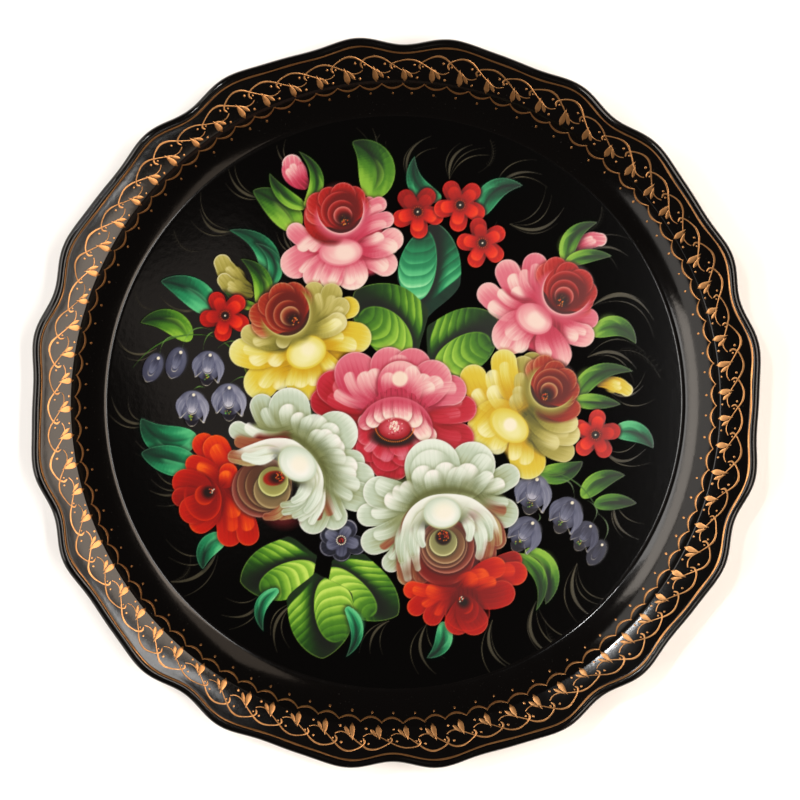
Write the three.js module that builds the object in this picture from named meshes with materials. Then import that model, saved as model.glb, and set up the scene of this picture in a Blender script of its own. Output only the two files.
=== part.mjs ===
// Painted metal tray in the Zhostovo manner: one pressed sheet-steel pan whose scalloped edge is
// rolled over a steel wire. Millimetres, +Z up, origin at the centre of the flat underside.

import * as THREE from 'three';

// Driving dimensions.
const SHEET = 0.9; // thickness of the steel sheet
const RIM_RADIUS = 225; // mean outside radius of the rolled edge
const FLOOR_RADIUS = 181.5; // flat floor, out to the crease where the cove starts
const CREASE_RADIUS = 201.5; // where the cove ends and the flange starts
const CREASE_HEIGHT = 17;
const COVE_START = 28; // steepness of the cove at the floor, in degrees
const FLANGE_SLOPE = 22; // steepness of the flange, in degrees
const NECK_SLOPE = 50; // steepness where the flange turns up into the rolled edge, in degrees
const NECK_RADIUS = 3; // bend radius of that turn
const BEAD_RADIUS = 3; // outside radius of the rolled edge
const BEAD_WRAP = 300; // how far the sheet wraps round the wire, in degrees
const WIRE_RADIUS = 1.5;

// The scalloped outline is a sum of waves: how many lobes go round, how far they swing, and where.
const SCALLOPS = [
  { lobes: 20, swing: 1.9, phase: -157 },
  { lobes: 30, swing: 0.75, phase: 18 },
  { lobes: 10, swing: 0.4, phase: -30 },
];

// Fineness of the facets.
const RING_STEPS = 140;
const COVE_STEPS = 3;
const FLANGE_STEPS = 2;
const BEAD_STEPS = 9;
const WIRE_SIDES = 6;

const radians = THREE.MathUtils.degToRad;

// Bend radius of the sheet's middle line round the wire, and the centre of that bend.
const CURL_RADIUS = BEAD_RADIUS - SHEET / 2;
const BEAD_CENTRE_RADIUS = RIM_RADIUS - BEAD_RADIUS;

function neckTurn() {
  const low = radians(FLANGE_SLOPE);
  const high = radians(NECK_SLOPE);
  return new THREE.Vector2(
    NECK_RADIUS * (Math.sin(high) - Math.sin(low)),
    NECK_RADIUS * (Math.cos(low) - Math.cos(high)),
  );
}

// From the bead's centre to where the neck meets it.
function beadStart() {
  const slope = radians(NECK_SLOPE);
  return new THREE.Vector2(-Math.sin(slope), Math.cos(slope)).multiplyScalar(CURL_RADIUS);
}

const FLANGE_END_RADIUS = BEAD_CENTRE_RADIUS + beadStart().x - neckTurn().x;
const FLANGE_END_HEIGHT = CREASE_HEIGHT
  + (FLANGE_END_RADIUS - CREASE_RADIUS) * Math.tan(radians(FLANGE_SLOPE));
const BEAD_CENTRE_HEIGHT = FLANGE_END_HEIGHT + neckTurn().y - beadStart().y;

// Points of the cove, an arc that steepens from the floor to the crease. The first is on the floor.
function covePoints() {
  const start = new THREE.Vector2(FLOOR_RADIUS, SHEET / 2);
  const end = new THREE.Vector2(CREASE_RADIUS, CREASE_HEIGHT);
  const chord = end.clone().sub(start);
  const half = chord.angle() - radians(COVE_START);
  const radius = chord.length() / (2 * Math.sin(half));
  const points = [];
  for (let step = 0; step <= COVE_STEPS; step += 1) {
    const heading = radians(COVE_START) + (2 * half * step) / COVE_STEPS;
    points.push(new THREE.Vector2(
      start.x + radius * (Math.sin(heading) - Math.sin(radians(COVE_START))),
      start.y + radius * (Math.cos(radians(COVE_START)) - Math.cos(heading)),
    ));
  }
  return points;
}

function flangePoints() {
  const start = new THREE.Vector2(CREASE_RADIUS, CREASE_HEIGHT);
  const end = new THREE.Vector2(FLANGE_END_RADIUS, FLANGE_END_HEIGHT);
  const points = [];
  for (let step = 1; step <= FLANGE_STEPS; step += 1) {
    points.push(start.clone().lerp(end, step / FLANGE_STEPS));
  }
  return points;
}

// The sheet turns over the top of the wire, down its outside and back under the flange.
function beadPoints() {
  const points = [];
  for (let step = 0; step <= BEAD_STEPS; step += 1) {
    const around = radians(90 + NECK_SLOPE - (BEAD_WRAP * step) / BEAD_STEPS);
    points.push(new THREE.Vector2(
      BEAD_CENTRE_RADIUS + CURL_RADIUS * Math.cos(around),
      BEAD_CENTRE_HEIGHT + CURL_RADIUS * Math.sin(around),
    ));
  }
  return points;
}

// The middle line of the sheet, from the axis to its rolled edge.
function middleLine() {
  const axis = new THREE.Vector2(0, SHEET / 2);
  return [axis, ...covePoints(), ...flangePoints(), ...beadPoints()];
}

// The middle line moved sideways by the distance, with mitred corners.
function offsetLine(line, distance) {
  return line.map((point, index) => {
    const before = line[Math.max(index - 1, 0)];
    const after = line[Math.min(index + 1, line.length - 1)];
    const into = point.clone().sub(before).normalize();
    const out = after.clone().sub(point).normalize();
    const along = into.clone().add(out).normalize();
    const reference = index === 0 ? out : into;
    const mitre = distance / along.dot(reference);
    return new THREE.Vector2(point.x - along.y * mitre, point.y + along.x * mitre);
  });
}

function scallop(angle) {
  return SCALLOPS.reduce(
    (total, wave) => total + wave.swing * Math.cos(wave.lobes * angle + radians(wave.phase)),
    0,
  );
}

// Turns a profile round the axis, then draws the flange and rim out and in along the flange's slope.
function scallopedLathe(profile) {
  const geometry = new THREE.LatheGeometry(profile, RING_STEPS);
  geometry.rotateX(Math.PI / 2);
  const places = geometry.attributes.position;
  for (let index = 0; index < places.count; index += 1) {
    const x = places.getX(index);
    const y = places.getY(index);
    const radius = Math.hypot(x, y);
    const share = THREE.MathUtils.clamp(
      (radius - CREASE_RADIUS) / (FLANGE_END_RADIUS - CREASE_RADIUS),
      0,
      1,
    );
    if (share > 0) {
      const shift = share * scallop(Math.atan2(y, x));
      const stretch = (radius + shift) / radius;
      const rise = shift * Math.tan(radians(FLANGE_SLOPE));
      places.setXYZ(index, x * stretch, y * stretch, places.getZ(index) + rise);
    }
  }
  geometry.computeVertexNormals();
  return geometry;
}

function mesh(name, geometry, look) {
  const body = new THREE.Mesh(geometry, new THREE.MeshStandardMaterial(look));
  body.name = name;
  return body;
}

// The pan: floor, cove, flange and rolled edge, one sheet of black lacquered steel.
function trayPan() {
  const line = middleLine();
  const underside = offsetLine(line, -SHEET / 2);
  const topside = offsetLine(line, SHEET / 2);
  underside[0].x = 0;
  topside[0].x = 0;
  const profile = [...underside, ...topside.reverse()];
  return mesh('tray_pan', scallopedLathe(profile), { color: 0x0c0a0a, roughness: 0.1, metalness: 0 });
}

// The wire that stiffens the rim, a ring that lies loose inside the rolled edge.
function rimWire() {
  const profile = [];
  for (let side = 0; side <= WIRE_SIDES; side += 1) {
    const around = (2 * Math.PI * (side % WIRE_SIDES)) / WIRE_SIDES;
    profile.push(new THREE.Vector2(
      BEAD_CENTRE_RADIUS + WIRE_RADIUS * Math.cos(around),
      BEAD_CENTRE_HEIGHT + WIRE_RADIUS * Math.sin(around),
    ));
  }
  return mesh('rim_wire', scallopedLathe(profile), { color: 0x77736e, roughness: 0.45, metalness: 1 });
}

const tray = new THREE.Group();
tray.add(trayPan(), rimWire());

export default tray;
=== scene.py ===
"""A round lacquered tray in the Zhostovo manner: black scalloped pan, painted bouquet, bronze rim ornament.

Lengths in the profile, the painting and the ornament are millimetres; meshes are built in metres.
"""

import math

import bpy
import numpy as np
from mathutils import Matrix, Vector


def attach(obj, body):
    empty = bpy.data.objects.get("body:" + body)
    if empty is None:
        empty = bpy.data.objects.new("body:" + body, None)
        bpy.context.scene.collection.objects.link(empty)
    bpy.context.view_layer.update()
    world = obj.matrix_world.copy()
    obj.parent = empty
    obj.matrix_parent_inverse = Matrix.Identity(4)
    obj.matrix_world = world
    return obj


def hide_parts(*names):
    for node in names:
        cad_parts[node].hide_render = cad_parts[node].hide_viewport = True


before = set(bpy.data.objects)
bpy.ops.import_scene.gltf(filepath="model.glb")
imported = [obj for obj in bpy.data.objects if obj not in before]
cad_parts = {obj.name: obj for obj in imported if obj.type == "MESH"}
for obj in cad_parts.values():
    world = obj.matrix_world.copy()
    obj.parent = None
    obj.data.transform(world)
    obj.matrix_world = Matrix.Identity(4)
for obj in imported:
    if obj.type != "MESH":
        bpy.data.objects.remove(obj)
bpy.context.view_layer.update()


# ---------------------------------------------------------------- the painter's tools
GROUND = np.array([0.020, 0.017, 0.016])
TURN = 2.0 * math.pi
SPLINE_STEPS = 6
ARC_STEPS = 28
BODY = 0.05           # how thick a stroke of paint stands, as a share of the relief
EDGE_LINE = 0.35      # how far inside a stroke's edge its fine light line runs
EDGE_LINE_WIDTH = 0.28
SHADOW_REACH = 1.3    # how far a petal's shadow falls on the paint beside it


def smooth(value, low, high):
    """0 below low, 1 above high, and a smooth step between."""
    step = np.clip((value - low) / (high - low), 0.0, 1.0)
    return step * step * (3.0 - 2.0 * step)


def blend(first, second, share):
    """A mix of two colours, with a share that may differ from point to point."""
    share = np.asarray(share)[..., None]
    return np.asarray(first) * (1.0 - share) + np.asarray(second) * share


def ramp(tones, place):
    """The colour at a place from 0 to 1 along a list of tones."""
    place = np.clip(place, 0.0, 1.0) * (len(tones) - 1)
    colour = np.broadcast_to(np.asarray(tones[0]), place.shape + (3,))
    for index, tone in enumerate(tones[1:]):
        colour = blend(colour, tone, smooth(place, index, index + 1.0))
    return colour


def heading_from(centre, degrees, far):
    """The point that lies far from a centre in a direction."""
    angle = math.radians(degrees)
    return np.asarray(centre) + far * np.array([math.cos(angle), math.sin(angle)])


def turned(centre, turn, x, y):
    """A point given about a centre, with the axes turned by some degrees."""
    c = math.cos(math.radians(turn))
    s = math.sin(math.radians(turn))
    return np.array([centre[0] + x * c - y * s, centre[1] + x * s + y * c])


def bow(start, end, bend, steps=12):
    """A curved line from start to end that bows to its left by bend times its length."""
    start = np.asarray(start, dtype=float)
    end = np.asarray(end, dtype=float)
    side = np.array([start[1] - end[1], end[0] - start[0]])
    middle = (start + end) / 2.0 + side * bend * 2.0
    t = np.linspace(0.0, 1.0, steps + 1)[:, None]
    return (1.0 - t) ** 2 * start + 2.0 * t * (1.0 - t) * middle + t * t * end


def spline(points):
    """A smooth line through a few points."""
    points = np.asarray(points, dtype=float)
    padded = np.vstack([2.0 * points[0] - points[1], points, 2.0 * points[-1] - points[-2]])
    t = np.linspace(0.0, 1.0, SPLINE_STEPS, endpoint=False)[:, None]
    pieces = []
    for a, b, c, d in zip(padded, padded[1:], padded[2:], padded[3:]):
        cubic = t * (3.0 * (b - c) + d - a)
        pieces.append(b + 0.5 * t * (c - a + t * (2.0 * a - 5.0 * b + 4.0 * c - d + cubic)))
    return np.vstack(pieces + [points[-1:]])


def arc(centre, across, along, start, end, turn=0.0):
    """Part of an oval, from one angle to another in degrees, the oval itself turned."""
    angles = np.radians(np.linspace(start, end, ARC_STEPS + 1))
    return turned(centre, turn, across * np.cos(angles), along * np.sin(angles)).T


class Painting:
    """Paint colours and paint thickness on a square grid over the tray's floor, in millimetres."""

    def __init__(self, half_width, cell, seed):
        self.half = half_width
        self.cell = cell
        self.axis = np.arange(-half_width, half_width + cell / 2.0, cell)
        count = len(self.axis)
        self.colour = np.tile(GROUND, (count, count, 1))
        self.body = np.zeros((count, count))
        self.random = np.random.default_rng(seed)

    def window(self, line, reach):
        """The area of the grid within reach of a line, and the x and y of its points."""
        last = len(self.axis)
        low = ((line.min(axis=0) - reach + self.half) / self.cell).astype(int)
        high = ((line.max(axis=0) + reach + self.half) / self.cell).astype(int) + 2
        low = np.clip(low, 0, last - 2)
        high = np.clip(high, 2, last)
        area = (slice(low[1], high[1]), slice(low[0], high[0]))
        return area, self.axis[area[1]][None, :], self.axis[area[0]][:, None]

    def measure(self, line, radii, reach):
        """How far each point near a stroke lies outside its edge, along it (0 to 1, and on past its ends) and
        to its left."""
        area, x, y = self.window(line, reach + np.max(radii))
        steps = np.diff(line, axis=0)[:, :, None, None]
        starts = line[:-1, :, None, None]
        length = np.maximum((steps ** 2).sum(axis=1), 1e-9)
        free = ((x - starts[:, 0]) * steps[:, 0] + (y - starts[:, 1]) * steps[:, 1]) / length
        held = np.clip(free, 0.0, 1.0)
        distance = np.hypot(x - starts[:, 0] - held * steps[:, 0], y - starts[:, 1] - held * steps[:, 1])
        low = np.asarray(radii[:-1])[:, None, None]
        high = np.asarray(radii[1:])[:, None, None]
        gap = distance - low * (1.0 - held) - high * held
        best = np.argmin(gap, axis=0)[None]
        side = (steps[:, 0] * (y - starts[:, 1]) - steps[:, 1] * (x - starts[:, 0])) / np.sqrt(length)
        held[0] = np.minimum(free[0], held[0])
        held[-1] = np.maximum(free[-1], held[-1])
        along = (np.arange(len(steps))[:, None, None] + held) / len(steps)

        def pick(values):
            return np.take_along_axis(values, best, axis=0)[0]

        return area, pick(gap), pick(along), pick(side)

    def lay(self, area, colour, cover, body=0.0):
        """Lays paint of a colour over what is there; body is how thick it stands."""
        self.colour[area] = self.colour[area] * (1.0 - cover[..., None]) + colour * cover[..., None]
        self.body[area] = self.body[area] * (1.0 - cover) + (self.body[area] * 0.6 + body) * cover

    def edge(self, gap, soft=0.0):
        """1 inside a stroke, 0 outside, and a step one grid cell wide, or wider where it is soft."""
        return np.clip(0.5 - gap / (self.cell + soft), 0.0, 1.0)

    def streaks(self, across, fineness):
        """Bristle marks: a gentle unevenness that runs along a stroke."""
        marks = np.zeros_like(across)
        for octave in (1.0, 1.9, 3.7):
            marks += np.cos(across * fineness * octave + self.random.uniform(0.0, 6.28)) / (octave + 0.6)
        return marks / 1.4

    def lobe(self, line, width, tones, foot=0.5, tip=0.9, lit=1.0, fade=0.0, soft=0.0, lean=0.0, glow=0.0,
             shade=0.0, rim=0.0, bristle=0.05, melt=0.0, body=BODY, strength=1.0, deep=0.1):
        """A round-ended petal or dab along a line. Its tones run from deep at the foot to lit at the tip;
        lean lights its left side, glow its edge and rim a fine line there; fade melts its foot away and melt
        its right side (left if negative); shade darkens what lies under it."""
        s = np.linspace(0.0, 1.0, len(line))
        swell = foot + (1.0 - foot) * np.sin(np.minimum(s / 0.8, 1.0) * math.pi / 2.0)
        radii = width / 2.0 * swell * (1.0 - (1.0 - tip) * smooth(s, 0.75 - 0.6 * (1.0 - tip), 1.0))
        area, gap, along, side = self.measure(line, radii, 4.0)
        span = np.sum(np.hypot(*np.diff(line, axis=0).T))
        far = np.clip((along * span) / (span + radii[-1]), 0.0, 1.0)
        across = np.clip(side / (width / 2.0), -1.0, 1.0)
        if shade:
            dark = shade * np.exp(-(np.maximum(gap, 0.0) / SHADOW_REACH) ** 2) * smooth(far, 0.0, 0.4)
            tint = np.asarray(tones[1]) / np.max(tones[1]) * 0.55
            self.colour[area] *= 1.0 - dark[..., None] * (1.0 - tint)
        inside = np.clip(-gap / (width * 0.5), 0.0, 1.0)
        place = deep + (lit - deep) * far ** 1.15 + lean * across
        place = place + glow * (1.0 - inside) ** 2 * smooth(far, 0.25, 0.75)
        place = place + bristle * self.streaks(across + 0.15 * far, 2.0 + width)
        cover = strength * self.edge(gap, soft)
        if fade:
            cover = cover * smooth(far, fade * 0.15, fade)
        if melt:
            cover = cover * smooth(1.0 + across * math.copysign(1.0, melt), 0.0, 2.0 * abs(melt))
        self.lay(area, ramp(tones, place), cover, body)
        if rim:
            light = np.exp(-((gap + EDGE_LINE) / EDGE_LINE_WIDTH) ** 2) * smooth(far, 0.45, 0.85)
            self.lay(area, np.asarray(tones[-1]) * 0.6 + 0.35, rim * light * self.edge(gap), body)

    def sweep(self, line, width, colour, strength=1.0, side=1.0, power=1.4, taper=0.35, soft=0.0):
        """A double-loaded brush stroke: a crisp edge on the line, melting away to one side of it."""
        area, _, along, off = self.measure(line, np.zeros(len(line)), width * 1.05)
        end = np.maximum(np.minimum(along, 1.0 - along), 0.0)
        local = width * np.minimum(1.0, end / taper + 0.04) ** 0.8
        off = off * side
        cover = np.clip(1.0 - off / np.maximum(local, 0.05), 0.0, 1.0) ** power
        cover = cover * np.clip(0.5 + off / (self.cell + soft), 0.0, 1.0)
        cover = cover * smooth(end, 0.0, taper * 0.6)
        self.lay(area, np.asarray(colour), strength * cover, BODY)

    def thread(self, line, width, colour, strength=1.0, taper=0.5, body=0.06):
        """A thin line that swells in the middle and runs out to points."""
        s = np.linspace(0.0, 1.0, len(line))
        radii = width / 2.0 * np.clip(np.minimum(s, 1.0 - s) / taper, 0.12, 1.0) ** 0.7
        area, gap, along, _ = self.measure(line, radii, 1.5)
        thin = np.clip(np.interp(along, s, radii) / (self.cell * 0.5), 0.0, 1.0)
        self.lay(area, np.asarray(colour), strength * self.edge(gap) * (0.35 + 0.65 * thin), body)

    def spot(self, centre, radius, colour, strength=1.0, soft=0.0, oval=1.0, turn=0.0, body=0.06):
        """A round or oval touch of paint; a soft one is a glaze."""
        centre = np.asarray(centre, dtype=float)
        area, x, y = self.window(np.stack([centre, centre]), radius * max(oval, 1.0) + soft + 0.5)
        c = math.cos(math.radians(turn))
        s = math.sin(math.radians(turn))
        along = ((x - centre[0]) * c + (y - centre[1]) * s) / oval
        across = -(x - centre[0]) * s + (y - centre[1]) * c
        gap = np.hypot(along, across) - radius
        self.lay(area, np.asarray(colour), strength * self.edge(gap, soft * 2.0), body)


# ---------------------------------------------------------------- paint colours, from deep to bright
PINK = ((0.42, 0.05, 0.1), (0.76, 0.2, 0.32), (0.86, 0.44, 0.52), (0.93, 0.7, 0.71), (0.96, 0.88, 0.84))
CUP_RED = ((0.22, 0.02, 0.02), (0.5, 0.03, 0.02), (0.68, 0.08, 0.06), (0.8, 0.26, 0.24), (0.9, 0.52, 0.48))
YELLOW = ((0.5, 0.37, 0.05), (0.79, 0.62, 0.04), (0.86, 0.77, 0.2), (0.89, 0.87, 0.49), (0.95, 0.95, 0.74))
OLIVE = ((0.22, 0.22, 0.07), (0.48, 0.46, 0.16), (0.64, 0.61, 0.27), (0.76, 0.73, 0.42), (0.87, 0.85, 0.6))
CUP_BROWN = ((0.2, 0.04, 0.02), (0.48, 0.08, 0.03), (0.64, 0.17, 0.08), (0.74, 0.42, 0.26), (0.84, 0.66, 0.44))
CRIMSON = ((0.34, 0.01, 0.03), (0.6, 0.03, 0.08), (0.76, 0.14, 0.22), (0.87, 0.4, 0.46), (0.95, 0.8, 0.76))
WHITE = ((0.32, 0.34, 0.15), (0.58, 0.62, 0.43), (0.75, 0.82, 0.74), (0.9, 0.95, 0.91), (1.0, 1.0, 1.0))
RUSSET = ((0.26, 0.05, 0.03), (0.46, 0.12, 0.08), (0.6, 0.34, 0.22), (0.7, 0.62, 0.42), (0.84, 0.84, 0.66))
ORANGE = ((0.34, 0.01, 0.01), (0.56, 0.03, 0.01), (0.74, 0.08, 0.01), (0.88, 0.23, 0.01), (0.98, 0.42, 0.04))
DARK_ORANGE = ((0.3, 0.01, 0.01), (0.52, 0.02, 0.01), (0.7, 0.05, 0.01),
               (0.84, 0.17, 0.01), (0.95, 0.34, 0.03))
SCARLET = ((0.3, 0.01, 0.01), (0.52, 0.02, 0.01), (0.72, 0.05, 0.02), (0.9, 0.14, 0.02), (0.96, 0.26, 0.06))
VIOLET = ((0.05, 0.06, 0.1), (0.2, 0.21, 0.3), (0.4, 0.42, 0.52), (0.68, 0.69, 0.76), (1.0, 1.0, 1.0))
GREEN = ((0.03, 0.1, 0.02), (0.1, 0.27, 0.05), (0.27, 0.5, 0.1), (0.52, 0.73, 0.21), (0.76, 0.9, 0.38))
TEAL = ((0.02, 0.11, 0.08), (0.03, 0.3, 0.19), (0.1, 0.52, 0.33), (0.32, 0.75, 0.5), (0.66, 0.95, 0.72))
GRASS = (0.42, 0.40, 0.31)
POLLEN = (0.90, 0.48, 0.10)
EMBER = (0.10, 0.02, 0.01)
FLAME = (0.90, 0.22, 0.05)
CORAL = (0.95, 0.35, 0.20)
CREAM = (0.97, 0.95, 0.86)
BALL_BODY = 0.08  # the rounded petals are the thickest paint


def off(centre, x, y):
    """A point given about a flower's heart."""
    return (centre[0] + x, centre[1] + y)


def petals(p, heart, tones, rows, **how):
    """Petals or dabs given as (tip x, tip y, width, foot x, foot y, bend, light) about the heart."""
    for tip_x, tip_y, width, foot_x, foot_y, bend, lit in rows:
        foot = np.array(off(heart, foot_x, foot_y))
        tip = np.array(off(heart, tip_x, tip_y))
        length = math.hypot(*(tip - foot))
        tip = tip - (tip - foot) / length * min(width * 0.42, length * 0.6)
        p.lobe(bow(foot, tip, bend), width, tones, lit=lit, **how)


def coat(p, heart, tones, rows, **how):
    """The body colour of petals, with the shadow they throw and a light line round their edge."""
    style = dict(foot=0.42, tip=1.0, shade=0.34, rim=0.45, glow=0.10, lean=-0.06, deep=0.18, bristle=0.045)
    style.update(how)
    rows = [(x, y, width * 1.14, *rest) for x, y, width, *rest in rows]
    for tip_x, tip_y, width, foot_x, foot_y, turn, lit in rows:
        foot = np.array(off(heart, foot_x, foot_y))
        tip = foot + np.array([tip_x - foot_x, tip_y - foot_y]) * 0.5
        p.lobe(bow(foot, tip, turn), width * 1.04, tones, foot=0.9, lit=0.40 * lit, deep=0.12, soft=3.0,
               body=0.03)
    petals(p, heart, tones, rows, **style)


def dabs(p, heart, tones, rows, **how):
    """Light strokes laid over petals: round at the tip and melting away to the foot."""
    style = dict(foot=0.5, tip=1.0, fade=0.85, soft=0.3, bristle=0.09, lean=-0.08, deep=0.44, body=0.06,
                 strength=0.90, melt=0.40)
    style.update(how)
    broader = [(x, y, width * 1.18, *rest) for x, y, width, *rest in rows]
    petals(p, heart, tones, broader, **style)


def plumes(p, heart, tones, rows, **how):
    """Strokes that flow out of a smooth mass of paint and end in narrow tips."""
    style = dict(foot=0.8, tip=0.55, fade=0.50, shade=0.22, rim=0.30, glow=0.05, deep=0.80, lean=0.12,
                 bristle=0.10, soft=0.4)
    style.update(how)
    petals(p, heart, tones, rows, **style)


def rings(p, heart, rows):
    """Nested rounded walls of a bloom seen from above, as (centre x, centre y, radius, wall, light edge)."""
    for x, y, size, tone, light in rows:
        centre = off(heart, x, y)
        p.spot(off(centre, 0.0, -0.6), size + 0.9, np.asarray(tone) * 0.35, 0.55, soft=0.8)
        p.spot(centre, size, np.asarray(tone) * 0.82, 1.0)
        edge = arc(centre, size, size, 120.0, 410.0)
        p.sweep(edge, size * 0.5, tone, 0.95, side=1.0, power=0.9, taper=0.3)
        middle = np.asarray(tone) * 0.5 + np.asarray(light) * 0.5
        p.sweep(edge, size * 0.16, middle, 0.7, side=1.0, power=1.0, taper=0.35)
        p.sweep(edge, 1.1, light, 0.9, side=1.0, power=0.8, taper=0.4)


def ball(p, centre, across, along, turn, tones):
    """The rounded petal that bulges in front of a rose: pale, turning deeper towards its upper left."""
    oval = across / along
    p.spot(centre, along * 1.05, tones[1], 0.5, soft=1.0, oval=oval, turn=turn)
    p.spot(centre, along, tones[2], 1.0, oval=oval, turn=turn, body=BALL_BODY)
    for step in range(7):
        shrink = 0.97 - 0.09 * step
        tone = ramp(tones, np.array(0.62 + 0.055 * step))
        shift = turned(centre, turn, 0.035 * across * step, -0.02 * along * step)
        p.spot(shift, along * shrink, tone, 0.55, soft=along * 0.09, oval=oval, turn=turn, body=BALL_BODY)
    for start, end, reach, strength in ((150, 330, 0.86, 0.5), (-40, 110, 0.90, 0.35), (170, 290, 0.55, 0.4)):
        line = arc(centre, across * reach, along * reach, start, end, turn)
        p.sweep(line, along * 0.42, tones[4], strength, side=1.0, taper=0.5, soft=0.4)


def seeds(p, centre, reach, colours, count, size=0.42):
    """A loose cluster of dots."""
    for index in range(count):
        angle = p.random.uniform(0.0, TURN)
        far = reach * math.sqrt(p.random.uniform(0.02, 1.0))
        dot = off(centre, far * math.cos(angle), far * math.sin(angle))
        p.spot(dot, size * p.random.uniform(0.7, 1.15), colours[index % len(colours)], 0.95, body=0.16)


def cup(p, centre, size, turn, back, rim):
    """The cupped heart of a rose seen from above: back petals, nested petals, seeds and the front wall."""
    def at(x, y):
        return turned(centre, turn, x * size, y * size)

    p.spot(at(0.0, 0.1), 1.0 * size, back[0], 0.9, soft=0.1 * size)
    for tip_x, tip_y, width, lit, lean in (
            (-0.93, 0.06, 0.88, 0.66, 0.10), (0.66, 0.16, 0.90, 0.44, -0.10), (-0.82, 0.40, 0.92, 0.52, 0.10),
            (0.56, 0.44, 0.94, 0.44, -0.06), (-0.36, 0.56, 0.90, 0.40, 0.06), (0.18, 0.60, 1.00, 0.48, 0.0)):
        p.lobe(bow(at(0.0, -0.3), at(tip_x, tip_y), 0.0), width * size, back, foot=0.7, tip=1.0, lit=lit,
               deep=0.26, shade=0.4, rim=0.40, glow=0.16, lean=lean, bristle=0.09)
    p.spot(at(0.05, 0.10), 0.74 * size, back[1], 0.95, soft=0.08 * size)
    p.spot(at(0.30, 0.30), 0.36 * size, back[0], 0.45, soft=0.30 * size)
    for x, y, reach, start, end, tone, light in (
            (0.0, 0.04, 0.76, 262, 50, back[2], back[3]), (0.02, -0.08, 0.54, 262, 10, back[2], back[3]),
            (0.06, -0.16, 0.36, 300, -60, back[3], back[4])):
        p.spot(at(x, y), reach * 0.94 * size, np.asarray(back[1]) * 0.8, 0.8, soft=0.05 * size)
        wall = arc(at(x, y), reach * size, reach * size * 0.96, start, end, turn)
        p.sweep(wall, 0.26 * size, tone, 0.85, side=-1.0, power=1.0, taper=0.4, soft=0.2)
        p.sweep(wall, 0.12 * size, light, 0.6, side=-1.0, power=1.0, taper=0.4)
        p.sweep(wall, 0.9, np.asarray(light) * 0.6 + 0.3, 0.55, side=-1.0, power=0.8, taper=0.5)
    p.spot(at(0.10, -0.34), 0.22 * size, EMBER, 0.95, soft=0.12 * size, oval=1.2, turn=turn)
    seeds(p, at(0.10, -0.32), 0.20 * size, ((0.14, 0.07, 0.04), (0.42, 0.24, 0.08)), 12, 0.36)
    seeds(p, at(0.12, -0.42), 0.14 * size, (POLLEN, (0.86, 0.22, 0.06), (0.95, 0.62, 0.30)), 14, 0.38)
    for start, end, width, tone, strength in (
            (160, 392, 0.50, rim[1], 0.95), (166, 300, 0.34, rim[2], 0.75), (245, 384, 0.34, rim[2], 0.75),
            (176, 384, 0.14, rim[3], 0.6), (150, 392, 0.05, rim[4], 0.8)):
        wall = arc(at(0.0, 0.14), 0.90 * size, 0.98 * size, start, end, turn)
        p.sweep(wall, width * size, tone, strength, side=-1.0, power=0.9, taper=0.35, soft=0.2)


BLADE_WIDEST = 0.36  # where along a slim leaf it is widest
LINE_BODY = 0.08
MOUTH = (0.07, 0.06, 0.11)
FEATHER_ANGLE = math.degrees(0.8)


def small_flower(p, centre, size, turn, lights):
    """A five-petal scarlet blossom. lights says how strongly each petal catches the light."""
    for index, light in enumerate(lights):
        angle = turn + 72.0 * index
        line = bow(heading_from(centre, angle, size * 0.12), heading_from(centre, angle, size * 0.68), 0.03)
        p.lobe(line, size * 0.66, SCARLET, foot=0.45, tip=1.0, lit=0.30 + 0.42 * light, shade=0.8,
               rim=0.35 * light)
    for index, light in enumerate(lights):
        angle = turn + 72.0 * index - 4.0
        line = bow(heading_from(centre, angle, size * 0.14), heading_from(centre, angle, size * 0.52), 0.03)
        p.lobe(line, size * 0.46, SCARLET[1:], foot=0.5, tip=1.0, lit=0.35 + 0.72 * light, soft=0.35,
               body=0.09, strength=0.35 + 0.6 * light)
    p.spot(centre, size * 0.22, SCARLET[0], 0.7, soft=size * 0.10)
    p.spot(centre, size * 0.15, EMBER, 1.0, soft=0.3)
    for step in range(14):
        p.spot(heading_from(centre, 360.0 * step / 14.0, size * 0.19), 0.28, POLLEN, 0.7, body=0.14)
    p.spot(centre, size * 0.036, CREAM, 0.95, body=0.2)


def blade(p, line, width, tones, lit):
    """A leaf shape, widest near its foot and pointed at its tip, darkening from foot to tip."""
    s = np.linspace(0.0, 1.0, len(line))
    swell = np.sin(math.pi * s ** (math.log(0.5) / math.log(BLADE_WIDEST))) ** 0.75
    area, gap, along, side = p.measure(line, np.maximum(width / 2.0 * swell, 0.12), 4.0)
    p.lay(area, np.asarray(tones[0]) * 0.3, 0.5 * np.exp(-(np.maximum(gap, 0.0) / 1.8) ** 2))
    across = side / (width / 2.0)
    level = lit * (1.0 - 0.85 * smooth(along, 0.1, 1.0)) + 0.10 * np.clip(across, -1.0, 1.0)
    level = level + 0.10 * p.streaks(across, 5.0) - 0.25 * smooth(-gap, width * 0.1, width * 0.5)
    p.lay(area, ramp(tones, level), p.edge(gap), BODY)
    light = np.exp(-((gap + EDGE_LINE) / 0.3) ** 2) * 0.25
    p.lay(area, np.asarray(tones[4]), light * p.edge(gap), LINE_BODY)


def leaf_outline(place, stalk):
    """Half the width of a leaf, as a share of its greatest, at places along it from base to tip."""
    swell = smooth(place, -0.02, stalk + 0.24) ** 0.75
    return swell * np.clip(1.0 - (np.maximum(place - 0.42, 0.0) / 0.58) ** 2.3, 0.0, 1.0) ** 0.72


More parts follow.
